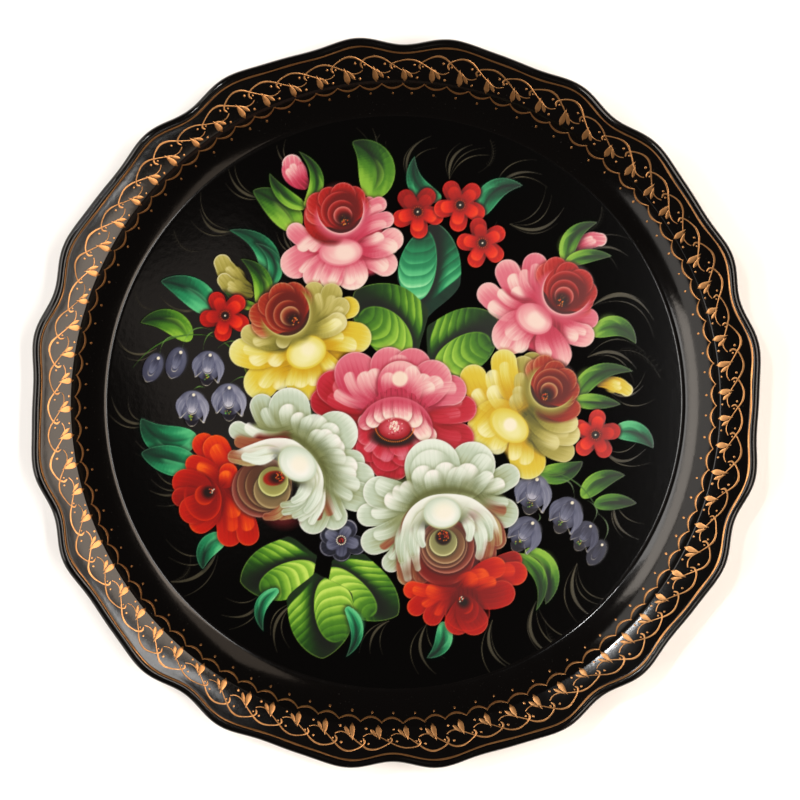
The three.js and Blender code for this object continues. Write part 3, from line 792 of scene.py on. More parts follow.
def white_peony_left(p):
    """The white peony at the left: a bright hood over a dark cup."""
    heart = (-75.7, -47.9)

    at = lines_about(heart)
    p.spot(off(heart, 22, 14), 17.0, WHITE[0], 0.95, soft=5.0, oval=1.4, turn=-52.0)
    coat(p, heart, WHITE, (
        (-12.5, 50.5, 13.5, 6, 27, 0.1, 0.44), (6, 54.5, 23, 14, 24, 0.04, 0.54),
        (46.5, 36, 25, 25, 16, 0, 0.62), (55, 9.5, 14, 30, 10, 0, 0.56), (60.5, -3, 18, 30, 6, -0.06, 0.6),
        (58.5, -17, 17, 31, 2, -0.1, 0.48), (38.5, -32, 15, 31, -2, -0.06, 0.46),
        (22, -34.5, 16, 28, -6, 0.06, 0.48)), **WHITE_PETAL)
    dabs(p, heart, RUSSET, ((34, -24, 7, 30, -3, -0.06, 0.5), (26.5, -27, 4, 29, -6, 0.04, 0.4)), deep=0.3)
    dabs(p, heart, WHITE, (
        (-8, 43, 6, 7, 28, 0.12, 0.66), (6.5, 45.5, 10, 12, 29, 0.06, 0.96),
        (14, 40.5, 9, 16.5, 28, 0.02, 1), (20.5, 38, 7, 18.5, 27, 0, 0.94),
        (26.5, 38.5, 16, 22, 21, 0.04, 0.9), (37.5, 32.5, 11, 26, 19, 0, 0.94),
        (28, 29.5, 9, 23.5, 18, 0.04, 1), (34, 29, 9, 25, 17, 0, 1.04), (42, 20.5, 12, 27, 14, -0.02, 1.04),
        (39.5, 25, 9, 26, 15, 0, 1), (43.5, 12.5, 10, 28, 12, 0, 1), (50.5, 6, 11, 29, 10, -0.04, 1.04),
        (50, 0.5, 8, 30, 7, -0.06, 0.98), (52, -6.5, 9, 31, 4, -0.08, 0.8), (47, -14, 7, 32, 1, -0.1, 0.7),
        (39.5, -27, 5, 32, -2, -0.04, 0.72)), **WHITE_DAB)
    coat(p, heart, WHITE, ((-28.5, 30.5, 10.5, 6, 27, 0.12, 0.5),), **WHITE_PETAL)
    dabs(p, heart, WHITE, ((-19, 32, 6.5, 10, 27, 0.14, 0.92),))
    coat(p, heart, RUSSET, ((-25.5, 22.5, 7, 6, 25, 0.1, 0.52),), rim=0.1, shade=0.3)
    groove = at((-6, 26.5), (8, 27), (17, 22.5), (25.5, 14), (31, 4), (32, -8))
    for side in (1.0, -1.0):
        p.sweep(groove, 4.0, WHITE[0], 0.9, side=side, power=1.3, taper=0.4, soft=0.8)

    p.spot(off(heart, 3, -22), 9.0, CRIMSON[0], 0.95, soft=3.0, oval=1.3, turn=-20.0)
    rings(p, heart, (
        (-9.5, -7, 18.2, (0.52, 0.22, 0.18), (0.7, 0.48, 0.42)),
        (-7.2, -4.5, 17.2, (0.46, 0.25, 0.18), (0.66, 0.52, 0.38)),
        (-4.6, -5, 14.6, (0.4, 0.24, 0.16), (0.66, 0.54, 0.38)),
        (-2.4, -8, 11.6, (0.54, 0.45, 0.3), (0.76, 0.68, 0.48)),
        (-1.6, -2.4, 9.4, (0.66, 0.66, 0.36), (0.88, 0.9, 0.62))))
    p.spot(off(heart, -1.2, -0.4), 4.7, (0.60, 0.10, 0.03), 1.0, soft=0.3, oval=1.45, turn=8.0)
    p.spot(off(heart, 0.6, -0.2), 3.6, EMBER, 0.9, soft=1.2, oval=1.3)
    seeds(p, off(heart, 2.6, 0.8), 2.8, (POLLEN, FLAME), 20)

    plumes(p, heart, RUSSET, (
        (-31, 12, 12, -2, 21, 0.14, 0.5), (1.5, -27, 7, 18, -8, 0.22, 0.46),
        (-8.5, -26.5, 7, 6, -16, 0.18, 0.36)), fade=0.2, tip=0.7)
    plumes(p, heart, WHITE, (
        (-23, 12, 10, 0, 19, 0.16, 0.56), (22, -31.5, 9, 27, -4, 0.08, 0.6),
        (14.5, -29, 8, 26, -4, 0.14, 0.56)), fade=0.3)
    band = at((-29, 15.5), (-17, 20.5), (-4.5, 24.6), (8, 24.6), (16, 20.5), (24, 12.5), (29, 3.5), (30, -5),
              (27.5, -14), (22, -22))
    hood(p, band, 0.16)
    plumes(p, heart, WHITE, (
        (3.5, -24.5, 8, 23, -2, 0.22, 0.34), (10.5, -27, 8, 25, -3, 0.18, 0.38),
        (2.5, -19.5, 7, 20, -1, 0.24, 0.3), (18.5, -24, 8, 26, 0, 0.12, 0.5),
        (10, -17.5, 8.5, 19, -1, 0.18, 0.5)))
    folds(p, (at((-20, 17.5), (-6, 20), (4, 18.5)), at((24, 4), (24.5, -5), (19, -16)),
              at((20, 12), (26.5, 2), (26, -8)), at((-14, 13), (-2, 15), (4, 15))), 0.55)
    white_ball(p, off(heart, 13.6, 8.6), 12.8, 10.4, -34.0, 170.0, 300.0)
    p.spot(off(heart, 15.0, 8.6), 5.4, CREAM, 0.55, soft=1.6)


def white_peony_front(p):
    """The white peony in front, its hood open towards the viewer."""
    heart = (30.3, -85.3)

    at = lines_about(heart)
    p.spot(off(heart, 0.0, 20), 14.0, WHITE[0], 0.95, soft=4.0, oval=2.2)
    coat(p, heart, WHITE, (
        (47, 40.5, 14, 20, 28, -0.04, 0.5), (45.5, 10, 17, 20, 25, -0.12, 0.42),
        (-53.5, 12, 13, -19, 20, 0.06, 0.58), (-49.5, -8, 15, -21, 14, 0.1, 0.48),
        (-35, -22, 11, -24, 2, 0.1, 0.44), (-49, 29.5, 18, -17, 23, 0.02, 0.56),
        (25, 55.5, 26, 7, 27, -0.02, 0.6), (-10, 58.5, 31, -3, 26, 0, 0.66)), **WHITE_PETAL)
    dabs(p, heart, RUSSET, ((39, 14, 8, 22, 25, -0.1, 0.5), (-39, -8, 5, -25, 10, 0.08, 0.5)), deep=0.3)
    dabs(p, heart, WHITE, (
        (41, 20, 6, 20, 27, -0.08, 0.62), (-45, 14, 7, -21, 20, 0.06, 0.86),
        (-43, -1, 7, -23, 13, 0.12, 0.74), (-33, -15, 5, -26, 4, 0.1, 0.66),
        (-42, 33, 11, -18, 25, 0.02, 0.76), (28, 50, 12, 13, 29, 0, 0.8), (-9, 52.5, 23, -5, 27, 0, 0.84),
        (-15, 43, 13, -7, 25, 0.04, 0.98), (2, 45.5, 13, 1, 26, 0, 1), (-7, 41, 10, -4, 25, 0, 1.04),
        (11, 42.5, 11, 6, 27, 0, 1), (18.5, 44, 13, 9, 27, -0.04, 1.04), (38.5, 33, 8, 17, 28, -0.04, 0.96),
        (31, 38.5, 8, 14, 28, -0.02, 0.92), (-25.5, 32.5, 10, -14, 23, 0, 1),
        (-31, 29.5, 9, -15, 22, 0, 0.98), (-36.5, 23.5, 10, -16, 20, 0.04, 1.04)), **WHITE_DAB)
    groove = at((-26, 6), (-20.5, 19), (-9, 27), (6, 29), (20, 26), (31.5, 17))
    for side in (1.0, -1.0):
        p.sweep(groove, 4.0, WHITE[0], 0.9, side=side, power=1.3, taper=0.4, soft=0.8)
        p.sweep(at((-9, 25.5), (-22, 14), (-27.5, 1), (-33, -13)), 2.4, (0.44, 0.08, 0.04), 0.9, side=side,
                power=1.2, taper=0.4, soft=0.4)

    p.spot(off(heart, 1, -13), 19.0, CRIMSON[0], 0.95, soft=2.0, oval=1.15)
    coat(p, heart, RUSSET, (
        (37.5, -7, 11, 22, 12, 0.16, 0.52), (30.5, -17.5, 10, 18, 6, 0.16, 0.46),
        (-23, -31, 12, -20, -2, -0.06, 0.56), (-14, -30, 10, -12, -4, -0.04, 0.36)), rim=0.5)
    rings(p, heart, (
        (0.6, -12.6, 19.6, (0.48, 0.05, 0.03), (0.74, 0.4, 0.34)),
        (2.4, -7, 17.4, (0.5, 0.2, 0.15), (0.76, 0.5, 0.42)),
        (0.8, -6.4, 14.6, (0.48, 0.26, 0.19), (0.74, 0.56, 0.44)),
        (1.4, -5.8, 12.4, (0.52, 0.36, 0.24), (0.78, 0.66, 0.5)),
        (0.1, -4.4, 8.8, (0.62, 0.62, 0.4), (0.88, 0.88, 0.66))))
    p.spot(off(heart, 0.1, -1.2), 5.0, EMBER, 1.0, soft=0.6)
    seeds(p, off(heart, 0.1, -0.2), 3.6, (POLLEN, FLAME), 24)

    plumes(p, heart, RUSSET, (
        (37, -7, 10, 20, 14, 0.18, 0.54), (29.5, -17, 9, 18, 12, 0.18, 0.52)), fade=0.3, tip=0.7)
    plumes(p, heart, WHITE, (
        (-22.5, -31, 9, -22, 8, -0.06, 0.52), (-16, -24, 7, -17, 6, -0.06, 0.56)), fade=0.3)
    dome = at((-28, -17), (-27, -5), (-25.5, 8.5), (-19, 19), (-8, 25.3), (6, 26.4), (18.5, 23.5), (29, 15.5),
              (34, 8), (37, -2))
    hood(p, dome, 0.18)
    plumes(p, heart, WHITE, (
        (-27, -19, 8, -22, 10, -0.1, 0.3), (-19.5, -15, 8, -18, 10, -0.08, 0.36),
        (-12.8, -9, 7.5, -14, 11, -0.1, 0.52), (31.5, -5, 10, 18, 15, 0.16, 0.32),
        (24.5, -17, 9.5, 13, 13, 0.2, 0.46), (18, -5, 8, 10, 14, 0.18, 0.56)))
    for x, y, size, tone, strength in (
            (-22, -24, 4.5, (0.42, 0.20, 0.10), 0.60), (-17, -18, 4.0, (0.46, 0.26, 0.14), 0.50),
            (25, -16, 4.0, (0.50, 0.12, 0.08), 0.45), (31, -8, 3.5, (0.50, 0.14, 0.09), 0.50)):
        p.spot(off(heart, x, y), size, tone, strength, soft=3.4)
    folds(p, (at((-22, 4), (-16, 14), (-8, 19)), at((30, 6), (22, 15), (12, 19)),
              at((24, -2), (20, 8), (12, 14)), at((-18, -2), (-14, 8), (-10, 12))), 0.5)
    white_ball(p, off(heart, -0.6, 14.4), 11.8, 10.0, 0.0, 190.0, 350.0)
    p.spot(off(heart, 0.4, 15.6), 5.4, CREAM, 0.55, soft=1.8, oval=1.2)


def orange_flower_left(p):
    """The orange flower at the left."""
    heart = (-116.8, -56.3)
    coat(p, heart, ORANGE, (
        (-7, 35, 13, 6.6, 9.6, -0.06, 0.66), (2, 34, 15, 8, 9, -0.06, 0.74),
        (-14, 20, 10.5, 6, 6, -0.1, 0.56), (13, 16.5, 10, 8, 4, -0.12, 0.72),
        (13, -34, 14, 7, -2, 0.04, 0.5), (26.2, -33, 12.5, 11, -5, 0.1, 0.52)), rim=0.3)
    dabs(p, heart, ORANGE, (
        (4, 29, 9, 8, 9, -0.1, 0.96), (-7, 17.5, 7.5, 6, 5, -0.14, 1.08), (11.5, 12, 8, 7, 2, -0.14, 1.12),
        (16, -16, 8.5, 8, 0, 0.1, 1.12), (14, -25, 7, 8, -2, 0.06, 0.8), (25, -24, 8, 12, -6, 0.14, 0.9)))
    coat(p, heart, ORANGE, (
        (-9.6, -25, 13, 2, -5, 0.14, 0.6), (-22, 9, 15, -2, -2, -0.12, 0.44),
        (-23.5, -4, 11, -4, -3, 0, 0.3), (-17, -16.6, 16, -1, -4, 0.1, 0.46)), rim=0.3)
    ring = arc(off(heart, -5.0, -4.5), 11.6, 14.5, 120.0, 420.0, 12.0)
    p.sweep(ring, 4.6, ORANGE[2], 0.8, side=1.0, taper=0.3)
    p.sweep(ring, 1.4, ORANGE[3], 0.7, side=1.0, taper=0.4)
    p.spot(off(heart, -4.0, -2.0), 6.4, ORANGE[1], 0.9, soft=1.0)
    inner = arc(off(heart, -4.0, -2.4), 6.0, 6.4, 80.0, 350.0)
    p.sweep(inner, 3.8, ORANGE[3], 0.9, side=1.0, taper=0.35)
    p.spot(off(heart, -1.5, -0.8), 3.6, EMBER, 1.0, soft=1.2)
    seeds(p, off(heart, 0.2, 0.6), 2.0, (CREAM, CORAL), 9)


def orange_flower_low(p):
    """The orange flower at the bottom."""
    heart = (41.3, -126.8)
    coat(p, heart, DARK_ORANGE, (
        (38, 27.5, 10.5, 12, 14, 0.06, 0.36), (41.4, 18.5, 13.5, 10, 10, 0.06, 0.62),
        (33.8, 3.5, 15, 5, 5, -0.12, 0.46), (-35.4, 6.8, 10, -4, 5.5, 0.06, 0.76),
        (-32.7, -6, 10.5, -5, 4, -0.1, 0.6), (-21.3, -14, 11, -4, 3, -0.1, 0.5),
        (27, 24, 12, 4, 8, 0.08, 0.76)), rim=0.4)
    dabs(p, heart, DARK_ORANGE, (
        (-21.3, 6, 8.5, -3, 5.6, 0.1, 1.12), (-30, 6.5, 6, -8, 6, 0.06, 0.96),
        (-24, -2.5, 5.5, -4, 4.6, -0.06, 0.9), (9.5, 15.5, 9.5, -2, 6, 0.1, 1.16),
        (17, 17, 10, 0, 7, 0.1, 1.14), (22.3, 12, 7, 4, 6.5, 0, 0.98), (34, 20, 8, 12, 11, 0.08, 0.82),
        (-16, -9, 5, -4, 3, -0.1, 0.8)))
    coat(p, heart, DARK_ORANGE, (
        (-3, -21, 15, 2, -1, 0.08, 0.42), (11.5, -21, 16, 4, -1, -0.08, 0.44)), rim=0.4)
    ring = arc(off(heart, 4.6, -8.4), 14.4, 12.0, 130.0, 410.0)
    p.sweep(ring, 4.0, DARK_ORANGE[2], 0.6, side=1.0, taper=0.3)
    p.sweep(ring, 1.1, DARK_ORANGE[3], 0.7, side=1.0, taper=0.4)
    p.spot(off(heart, 4.4, -5.6), 7.6, DARK_ORANGE[1], 0.85, soft=1.5)
    for x, y, across, along, start, end, width, tone, strength in (
            (4.8, -6.4, 7.0, 8.4, 60, -130, 3.6, DARK_ORANGE[2], 0.9),
            (3.6, -3.8, 4.6, 5.2, 40, -120, 2.6, DARK_ORANGE[3], 0.8)):
        inner = arc(off(heart, x, y), across, along, start, end)
        p.sweep(inner, width, tone, strength, side=-1.0, taper=0.4)
    p.spot(off(heart, 2.2, -1.4), 3.4, EMBER, 1.0, soft=1.4)
    seeds(p, off(heart, 0.2, 0.4), 2.0, (CREAM, CORAL), 9)


def sprays(p):
    """The fine grasses and feathered tendrils that tie the bouquet together."""
    for x, y, heading, length, curl, count in (
            (-20, 138, 80, 26, -0.22, 3), (8, 140, 62, 24, 0.22, 3), (34, 140, 50, 26, 0.2, 4),
            (62, 132, 20, 26, 0.24, 3), (72, 112, 25, 30, -0.22, 4), (118, 92, 0, 24, 0.24, 3),
            (124, 60, -12, 34, 0.28, 3), (122, 28, -14, 30, 0.28, 3), (130, -28, -5, 26, -0.28, 3),
            (140, -62, -60, 26, -0.2, 3), (116, -104, -60, 34, -0.24, 4), (90, -128, -60, 32, -0.26, 4),
            (62, -140, -70, 30, -0.22, 3), (20, -142, -80, 26, -0.2, 3), (-4, -140, -120, 24, -0.22, 3),
            (-64, -128, -110, 28, -0.2, 3), (-84, -120, -150, 26, 0.24, 3), (-112, -92, 200, 34, 0.24, 4),
            (-128, -50, 185, 26, 0.26, 4), (-132, -30, 170, 26, 0.22, 3), (-152, -12, 150, 24, 0.26, 3),
            (-150, 34, 175, 22, 0.26, 3), (-118, 62, 160, 26, 0.22, 2), (-100, 108, 150, 26, 0.24, 3),
            (-82, 128, 140, 24, 0.22, 3), (-62, 146, 120, 20, 0.2, 2), (66, -6, 20, 16, -0.3, 3),
            (-28, 42, 60, 16, 0.1, 3), (-60, 92, 120, 18, 0.2, 3), (136, 6, 10, 22, -0.26, 3),
            (-38, 96, 250, 16, 0.2, 2), (24, 84, 300, 16, -0.2, 3), (46, 102, 40, 16, -0.2, 2)):
        grass(p, (x, y), heading, length, curl, count)
    for x, y, heading, length, curl in (
            (-6, 146, 100, 22, 0.26), (-118, 96, 150, 24, 0.28), (112, 108, 40, 24, -0.3),
            (128, 26, -16, 42, 0.28), (-130, -96, 230, 24, 0.26), (96, -140, -40, 26, -0.3),
            (52, 144, 70, 22, -0.24), (-146, 60, 150, 20, 0.3)):
        fern(p, (x, y), heading, length, curl)


def stems(p):
    """Stems of the bluebells and buds."""
    green = (0.24, 0.42, 0.12)
    p.thread(bow((-165, 22), (-112, 41), 0.16), 1.1, green, 0.95, taper=0.5)
    p.thread(bow((-118, 43), (-92, 8), 0.16), 1.5, green, 0.95, taper=0.6)
    for start, end, bend in (((-133, 41), (-148, 31), -0.28), ((-112, 44), (-134, 34), -0.32),
                             ((-104, 41), (-121, 33), -0.40), ((-96, 28), (-112, 34), -0.45),
                             ((-93, 6), (-104, 12), -0.6), ((-120, 9), (-127, 8), -0.2)):
        p.thread(bow(start, end, bend), 0.8, (0.40, 0.58, 0.28), 0.9)
    p.thread(bow((92, -44), (130, -73), 0.16), 0.9, green, 0.9, taper=0.6)
    for start, end, bend in (((99, -51.5), (114, -61.5), 0.35), ((122.5, -63.5), (126, -77), 0.30),
                             ((129.5, -72), (132.5, -90), 0.25), ((91, -71.5), (90, -77), 0.3)):
        p.thread(bow(start, end, bend), 0.7, (0.42, 0.56, 0.36), 0.85)


def foliage_behind(p):
    """Leaves that the flowers overlap."""
    for base, tip, width, bend, tones, ribs, lit, front, stalk in (
            ((20, 53), (25.5, 112.5), 40, 0.02, TEAL, 8, 1.2, 1.0, 0.17),
            ((14.5, 33), (-25.5, 70), 42, -0.05, GREEN, 8, 1.1, 1.0, 0.02),
            ((20.5, 26), (64, 54), 40, -0.03, GREEN, 8, 1.1, -1.0, 0.02),
            ((-50, -98), (-98.5, -114.5), 38, 0.03, GREEN, 8, 1.35, 1.0, 0.04),
            ((-40, -101), (1.5, -136.5), 36, -0.04, GREEN, 8, 1.35, -1.0, 0.02),
            ((-51, -109), (-46.5, -164), 42, 0.03, GREEN, 9, 1.30, 1.0, 0.06)):
        leaf(p, base, tip, width, bend, tones, ribs, lit, front, stalk)
    for base, tip, width, bend, tones, lit in (
            ((-15, 131), (-27, 163), 23, -0.26, GREEN, 1.0),
            ((-63, 110), (-89, 132.5), 19, -0.10, GREEN, 1.1),
            ((-80, 71), (-104, 108), 14, -0.27, TEAL, 1.15), ((-81, 71), (-88, 100), 9, -0.30, TEAL, 0.9),
            ((-115, 57), (-147, 76), 18, -0.12, TEAL, 1.05), ((-130, 40), (-160, 50), 15, -0.22, GREEN, 1.0),
            ((28, 128), (12, 154), 12, 0.26, TEAL, 0.9), ((54, 118), (80, 136), 14, 0.24, TEAL, 0.8),
            ((126, 42.5), (152.5, 36.5), 13, 0.30, GREEN, 1.0),
            ((140, -20), (164, -30), 13, 0.20, TEAL, 1.0),
            ((93, -46), (119, -38.5), 13.5, -0.12, GREEN, 0.9),
            ((120, -60.5), (146, -47.5), 12.5, 0.14, GREEN, 0.9),
            ((128, -66), (153.5, -65.5), 10.5, 0.06, GREEN, 0.65),
            ((84, -96), (96, -130), 15, 0.22, GREEN, 1.0),
            ((76, -98), (90, -134), 9, 0.26, GREEN, 0.9), ((-128, -22), (-160, -10), 20, 0.24, TEAL, 1.0),
            ((-128, -40), (-160, -32), 19, 0.0, TEAL, 0.95),
            ((-108, -86), (-122, -106), 13, -0.22, TEAL, 1.0),
            ((-74.5, -119.5), (-84, -146), 8.5, -0.24, TEAL, 1.0),
            ((-31.5, -131), (-31.5, -163), 8.5, 0.22, TEAL, 1.0),
            ((30, -142), (20, -164), 11, 0.22, TEAL, 1.0)):
        slim_leaf(p, base, tip, width, bend, tones, lit)


def buds(p):
    """Buds round the edge of the bouquet, each with its green sepals."""
    for foot, tip, width, tones, base, sepals in (
            ((-57.5, 137.0), (-68.0, 154.5), 15.5, PINK, (-56.8, 122.5),
             (((-78.8, 143.5), 9.5, 0.12), ((-60.4, 157.0), 9.0, -0.27))),
            ((-93.0, 72.0), (-112.5, 91.5), 13.5, OLIVE, (-85.5, 60.0), (((-97.0, 90.0), 12.0, -0.24),)),
            ((-92.0, 68.0), (-111.5, 79.0), 11.5, OLIVE, (-86.5, 60.0), (((-107.0, 69.5), 6.0, 0.10),)),
            ((113.5, 97.0), (133.5, 103.5), 10.5, PINK, (108.0, 87.5),
             (((127.3, 113.0), 11.0, 0.22), ((136.5, 91.8), 9.0, 0.08))),
            ((129.5, 11.5), (151.0, 6.0), 10.0, YELLOW, (114.0, 0.0),
             (((150.5, 19.0), 12.0, 0.22), ((143.0, -2.0), 10.0, 0.02)))):
        bud(p, foot, tip, width, tones, base, sepals)


def bells(p):
    """The two sprays of bluebells: (x, y, size, turn, light, open)."""
    for x, y, size, turn, lit, open_mouth in (
            (-149.3, 30.0, 19.0, -22, 0.72, False), (-135.5, 33.7, 20.0, -16, 0.78, False),
            (-117.5, 31.6, 18.5, -4, 1.0, True), (-128.2, 6.6, 19, 0, 1.1, True),
            (-106.0, 11.0, 20, 4, 1.1, True), (131.9, -89.9, 17.5, -28, 0.38, False),
            (124.3, -78.0, 17, -26, 0.58, True), (112.3, -62.5, 20.5, -22, 0.80, True),
            (87.4, -75.4, 20.5, -30, 0.86, True), (89.2, -47.4, 22, -10, 1.0, True)):
        bell(p, (x, y), size, turn, lit, open_mouth)


def small_flowers(p):
    """The scarlet blossoms: (x, y, size, turn, light on each petal)."""
    for x, y, size, turn, lights in (
            (-107.0, 54.5, 16.0, 118, (0.6, 0.55, 0.9, 1.0, 0.9)),
            (14.0, 119.5, 16.5, 58, (0.35, 0.25, 0.95, 1.0, 1.0)),
            (40.7, 123.8, 16.5, 48, (0.7, 0.5, 1.0, 1.0, 1.0)),
            (54.8, 100.0, 16.0, 32, (0.95, 0.5, 0.95, 1.0, 1.0)),
            (127.2, -21.5, 16.0, 84, (0.9, 0.95, 1.0, 0.7, 0.6))):
        small_flower(p, (x, y), size, turn, lights)


def bouquet(p):
    """The whole painting, laid from the back of the bouquet to its front."""
    sprays(p)
    foliage_behind(p)
    stems(p)
    buds(p)
    bells(p)
    orange_flower_left(p)
    small_flowers(p)
    blue_flower(p, (-34.5, -88.0))
    pink_rose_left(p)
    pink_rose_right(p)
    yellow_rose_left(p)
    yellow_rose_right(p)
    crimson_peony(p)
    white_peony_left(p)
    white_peony_front(p)
    orange_flower_low(p)


# ---------------------------------------------------------------- the tray's profile
PER_METRE = 1000.0
SHEET = 0.9
RIM_RADIUS = 225.0
FLOOR_RADIUS = 181.5
CREASE_RADIUS = 201.5
CREASE_HEIGHT = 17.0
COVE_START = math.radians(28.0)
FLANGE_SLOPE = math.radians(22.0)
NECK_SLOPE = math.radians(50.0)
NECK_RADIUS = 3.0
BEAD_RADIUS = 3.0
BEAD_WRAP = math.radians(300.0)
WIRE_RADIUS = 1.5
SCALLOPS = ((20, 1.9, -157.0), (30, 0.75, 18.0), (10, 0.4, -30.0))  # lobes, swing, phase

CURL_RADIUS = BEAD_RADIUS - SHEET / 2.0
BEAD_CENTRE = RIM_RADIUS - BEAD_RADIUS
NECK_RUN = NECK_RADIUS * (math.sin(NECK_SLOPE) - math.sin(FLANGE_SLOPE))
NECK_RISE = NECK_RADIUS * (math.cos(FLANGE_SLOPE) - math.cos(NECK_SLOPE))
FLANGE_END = BEAD_CENTRE - CURL_RADIUS * math.sin(NECK_SLOPE) - NECK_RUN
FLANGE_TOP = CREASE_HEIGHT + (FLANGE_END - CREASE_RADIUS) * math.tan(FLANGE_SLOPE)
BEAD_HEIGHT = FLANGE_TOP + NECK_RISE - CURL_RADIUS * math.cos(NECK_SLOPE)

FLOOR_BEND = 7.0   # bend radius where the floor turns up into the cove
CREASE_BEND = 1.2  # bend radius of the ridge between cove and flange
FLANGE_CROWN = math.radians(3.0)  # the flange is this much steeper at the ridge, and flatter at the rim

RING_STEPS = 640   # mesh steps round the tray, and along each part of its profile
FLOOR_RINGS = (60.0, 110.0, 145.0, 165.0, 176.0)
BEND_STEPS = 6
COVE_STEPS = 18
RIDGE_STEPS = 6
FLANGE_STEPS = 12
BEAD_STEPS = 34
EDGE_STEPS = 6
WIRE_STEPS = 14


def scallop(angle):
    """How far the rim swings out and in round the tray."""
    return sum(swing * np.cos(lobes * angle + math.radians(phase)) for lobes, swing, phase in SCALLOPS)


def cove():
    """The cove's arc: its radius and the headings it runs between."""
    rise = CREASE_HEIGHT - SHEET / 2.0
    reach = CREASE_RADIUS - FLOOR_RADIUS
    half = math.atan2(rise, reach) - COVE_START
    return math.hypot(reach, rise) / (2.0 * math.sin(half)), COVE_START, COVE_START + 2.0 * half


def bend(points, start, radius, first, last, steps):
    """Adds an arc of the middle line, as (x, z, heading), starting where the line stands."""
    turn = 1.0 if last > first else -1.0
    for step in range(1, steps + 1):
        heading = first + (last - first) * step / steps
        points.append((start[0] + turn * radius * (math.sin(heading) - math.sin(first)),
                       start[1] + turn * radius * (math.cos(first) - math.cos(heading)), heading))


def flange_arc():
    """The crowned flange: its radius, its steep heading at the ridge and its flat one at the neck."""
    flat = FLANGE_SLOPE - FLANGE_CROWN
    bead_start = (BEAD_CENTRE - CURL_RADIUS * math.sin(NECK_SLOPE),
                  BEAD_HEIGHT + CURL_RADIUS * math.cos(NECK_SLOPE))
    flange_end = (bead_start[0] - NECK_RADIUS * (math.sin(NECK_SLOPE) - math.sin(flat)),
                  bead_start[1] - NECK_RADIUS * (math.cos(flat) - math.cos(NECK_SLOPE)))
    reach = flange_end[0] - CREASE_RADIUS
    rise = flange_end[1] - CREASE_HEIGHT
    chord = math.atan2(rise, reach)
    return math.hypot(reach, rise) / (2.0 * math.sin(chord - flat)), 2.0 * chord - flat, flat


def ridge_between(before, after):
    """The rounded ridge from the cove's last point to the flange's first."""
    corner = np.array((CREASE_RADIUS, CREASE_HEIGHT))
    points = []
    for share in np.linspace(0.0, 1.0, RIDGE_STEPS + 1)[1:-1]:
        spot = (1 - share) ** 2 * before[:2] + 2 * share * (1 - share) * corner + share ** 2 * after[:2]
        points.append((spot[0], spot[1], before[2] + (after[2] - before[2]) * share))
    return points


def middle_line():
    """The sheet's middle line from the axis to the end of its rolled edge, as (x, z, heading)."""
    radius, low, high = cove()
    crown, steep, flat = flange_arc()
    fillet = FLOOR_BEND * math.tan(low / 2.0)
    ridge = CREASE_BEND * math.tan((high - steep) / 2.0)
    points = [(x, SHEET / 2.0, 0.0) for x in (0.0,) + FLOOR_RINGS + (FLOOR_RADIUS - fillet,)]
    bend(points, points[-1], FLOOR_BEND, 0.0, low, BEND_STEPS)
    for heading in np.linspace(low + fillet / radius, high - ridge / radius, COVE_STEPS + 1)[1:]:
        points.append((FLOOR_RADIUS + radius * (math.sin(heading) - math.sin(low)),
                       SHEET / 2.0 + radius * (math.cos(low) - math.cos(heading)), heading))
    flange = []
    for heading in np.linspace(steep - ridge / crown, flat, FLANGE_STEPS + 1):
        flange.append((CREASE_RADIUS + crown * (math.sin(steep) - math.sin(heading)),
                       CREASE_HEIGHT + crown * (math.cos(heading) - math.cos(steep)), heading))
    points.extend(ridge_between(np.array(points[-1]), np.array(flange[0])))
    points.extend(flange)
    bend(points, points[-1], NECK_RADIUS, flat, NECK_SLOPE, BEND_STEPS)
    bend(points, points[-1], CURL_RADIUS, NECK_SLOPE, NECK_SLOPE - BEAD_WRAP, BEAD_STEPS)
    return np.array(points)


def offset(line, distance):
    """The line moved to its left by a distance, as (x, z)."""
    return np.stack([line[:, 0] - np.sin(line[:, 2]) * distance,
                     line[:, 1] + np.cos(line[:, 2]) * distance], 1)


def stretch(radius, angle):
    """How far the scallops move a point of the pan outwards."""
    share = np.clip((radius - CREASE_RADIUS) / (FLANGE_END - CREASE_RADIUS), 0.0, 1.0)
    return share * scallop(angle)


def around(radius, height, angle):
    """Points of the turned shape after its scallops are drawn out, in metres."""
    shift = stretch(radius, angle)
    reach = radius + shift
    rise = np.broadcast_to(height, angle.shape) + shift * math.tan(FLANGE_SLOPE)
    return np.stack([reach * np.cos(angle), reach * np.sin(angle), rise], -1) / PER_METRE


def place_in_scene(name, data):
    """An object that shows a mesh, a light or a camera."""
    thing = bpy.data.objects.new(name, data)
    bpy.context.scene.collection.objects.link(thing)
    return thing


def build(name, vertices, faces, rounded=True):
    """A mesh object of points in metres."""
    mesh = bpy.data.meshes.new(name)
    mesh.from_pydata(vertices.reshape(-1, 3).tolist(), [], faces)
    mesh.update()
    if rounded:
        mesh.shade_smooth()
    return place_in_scene(name, mesh)


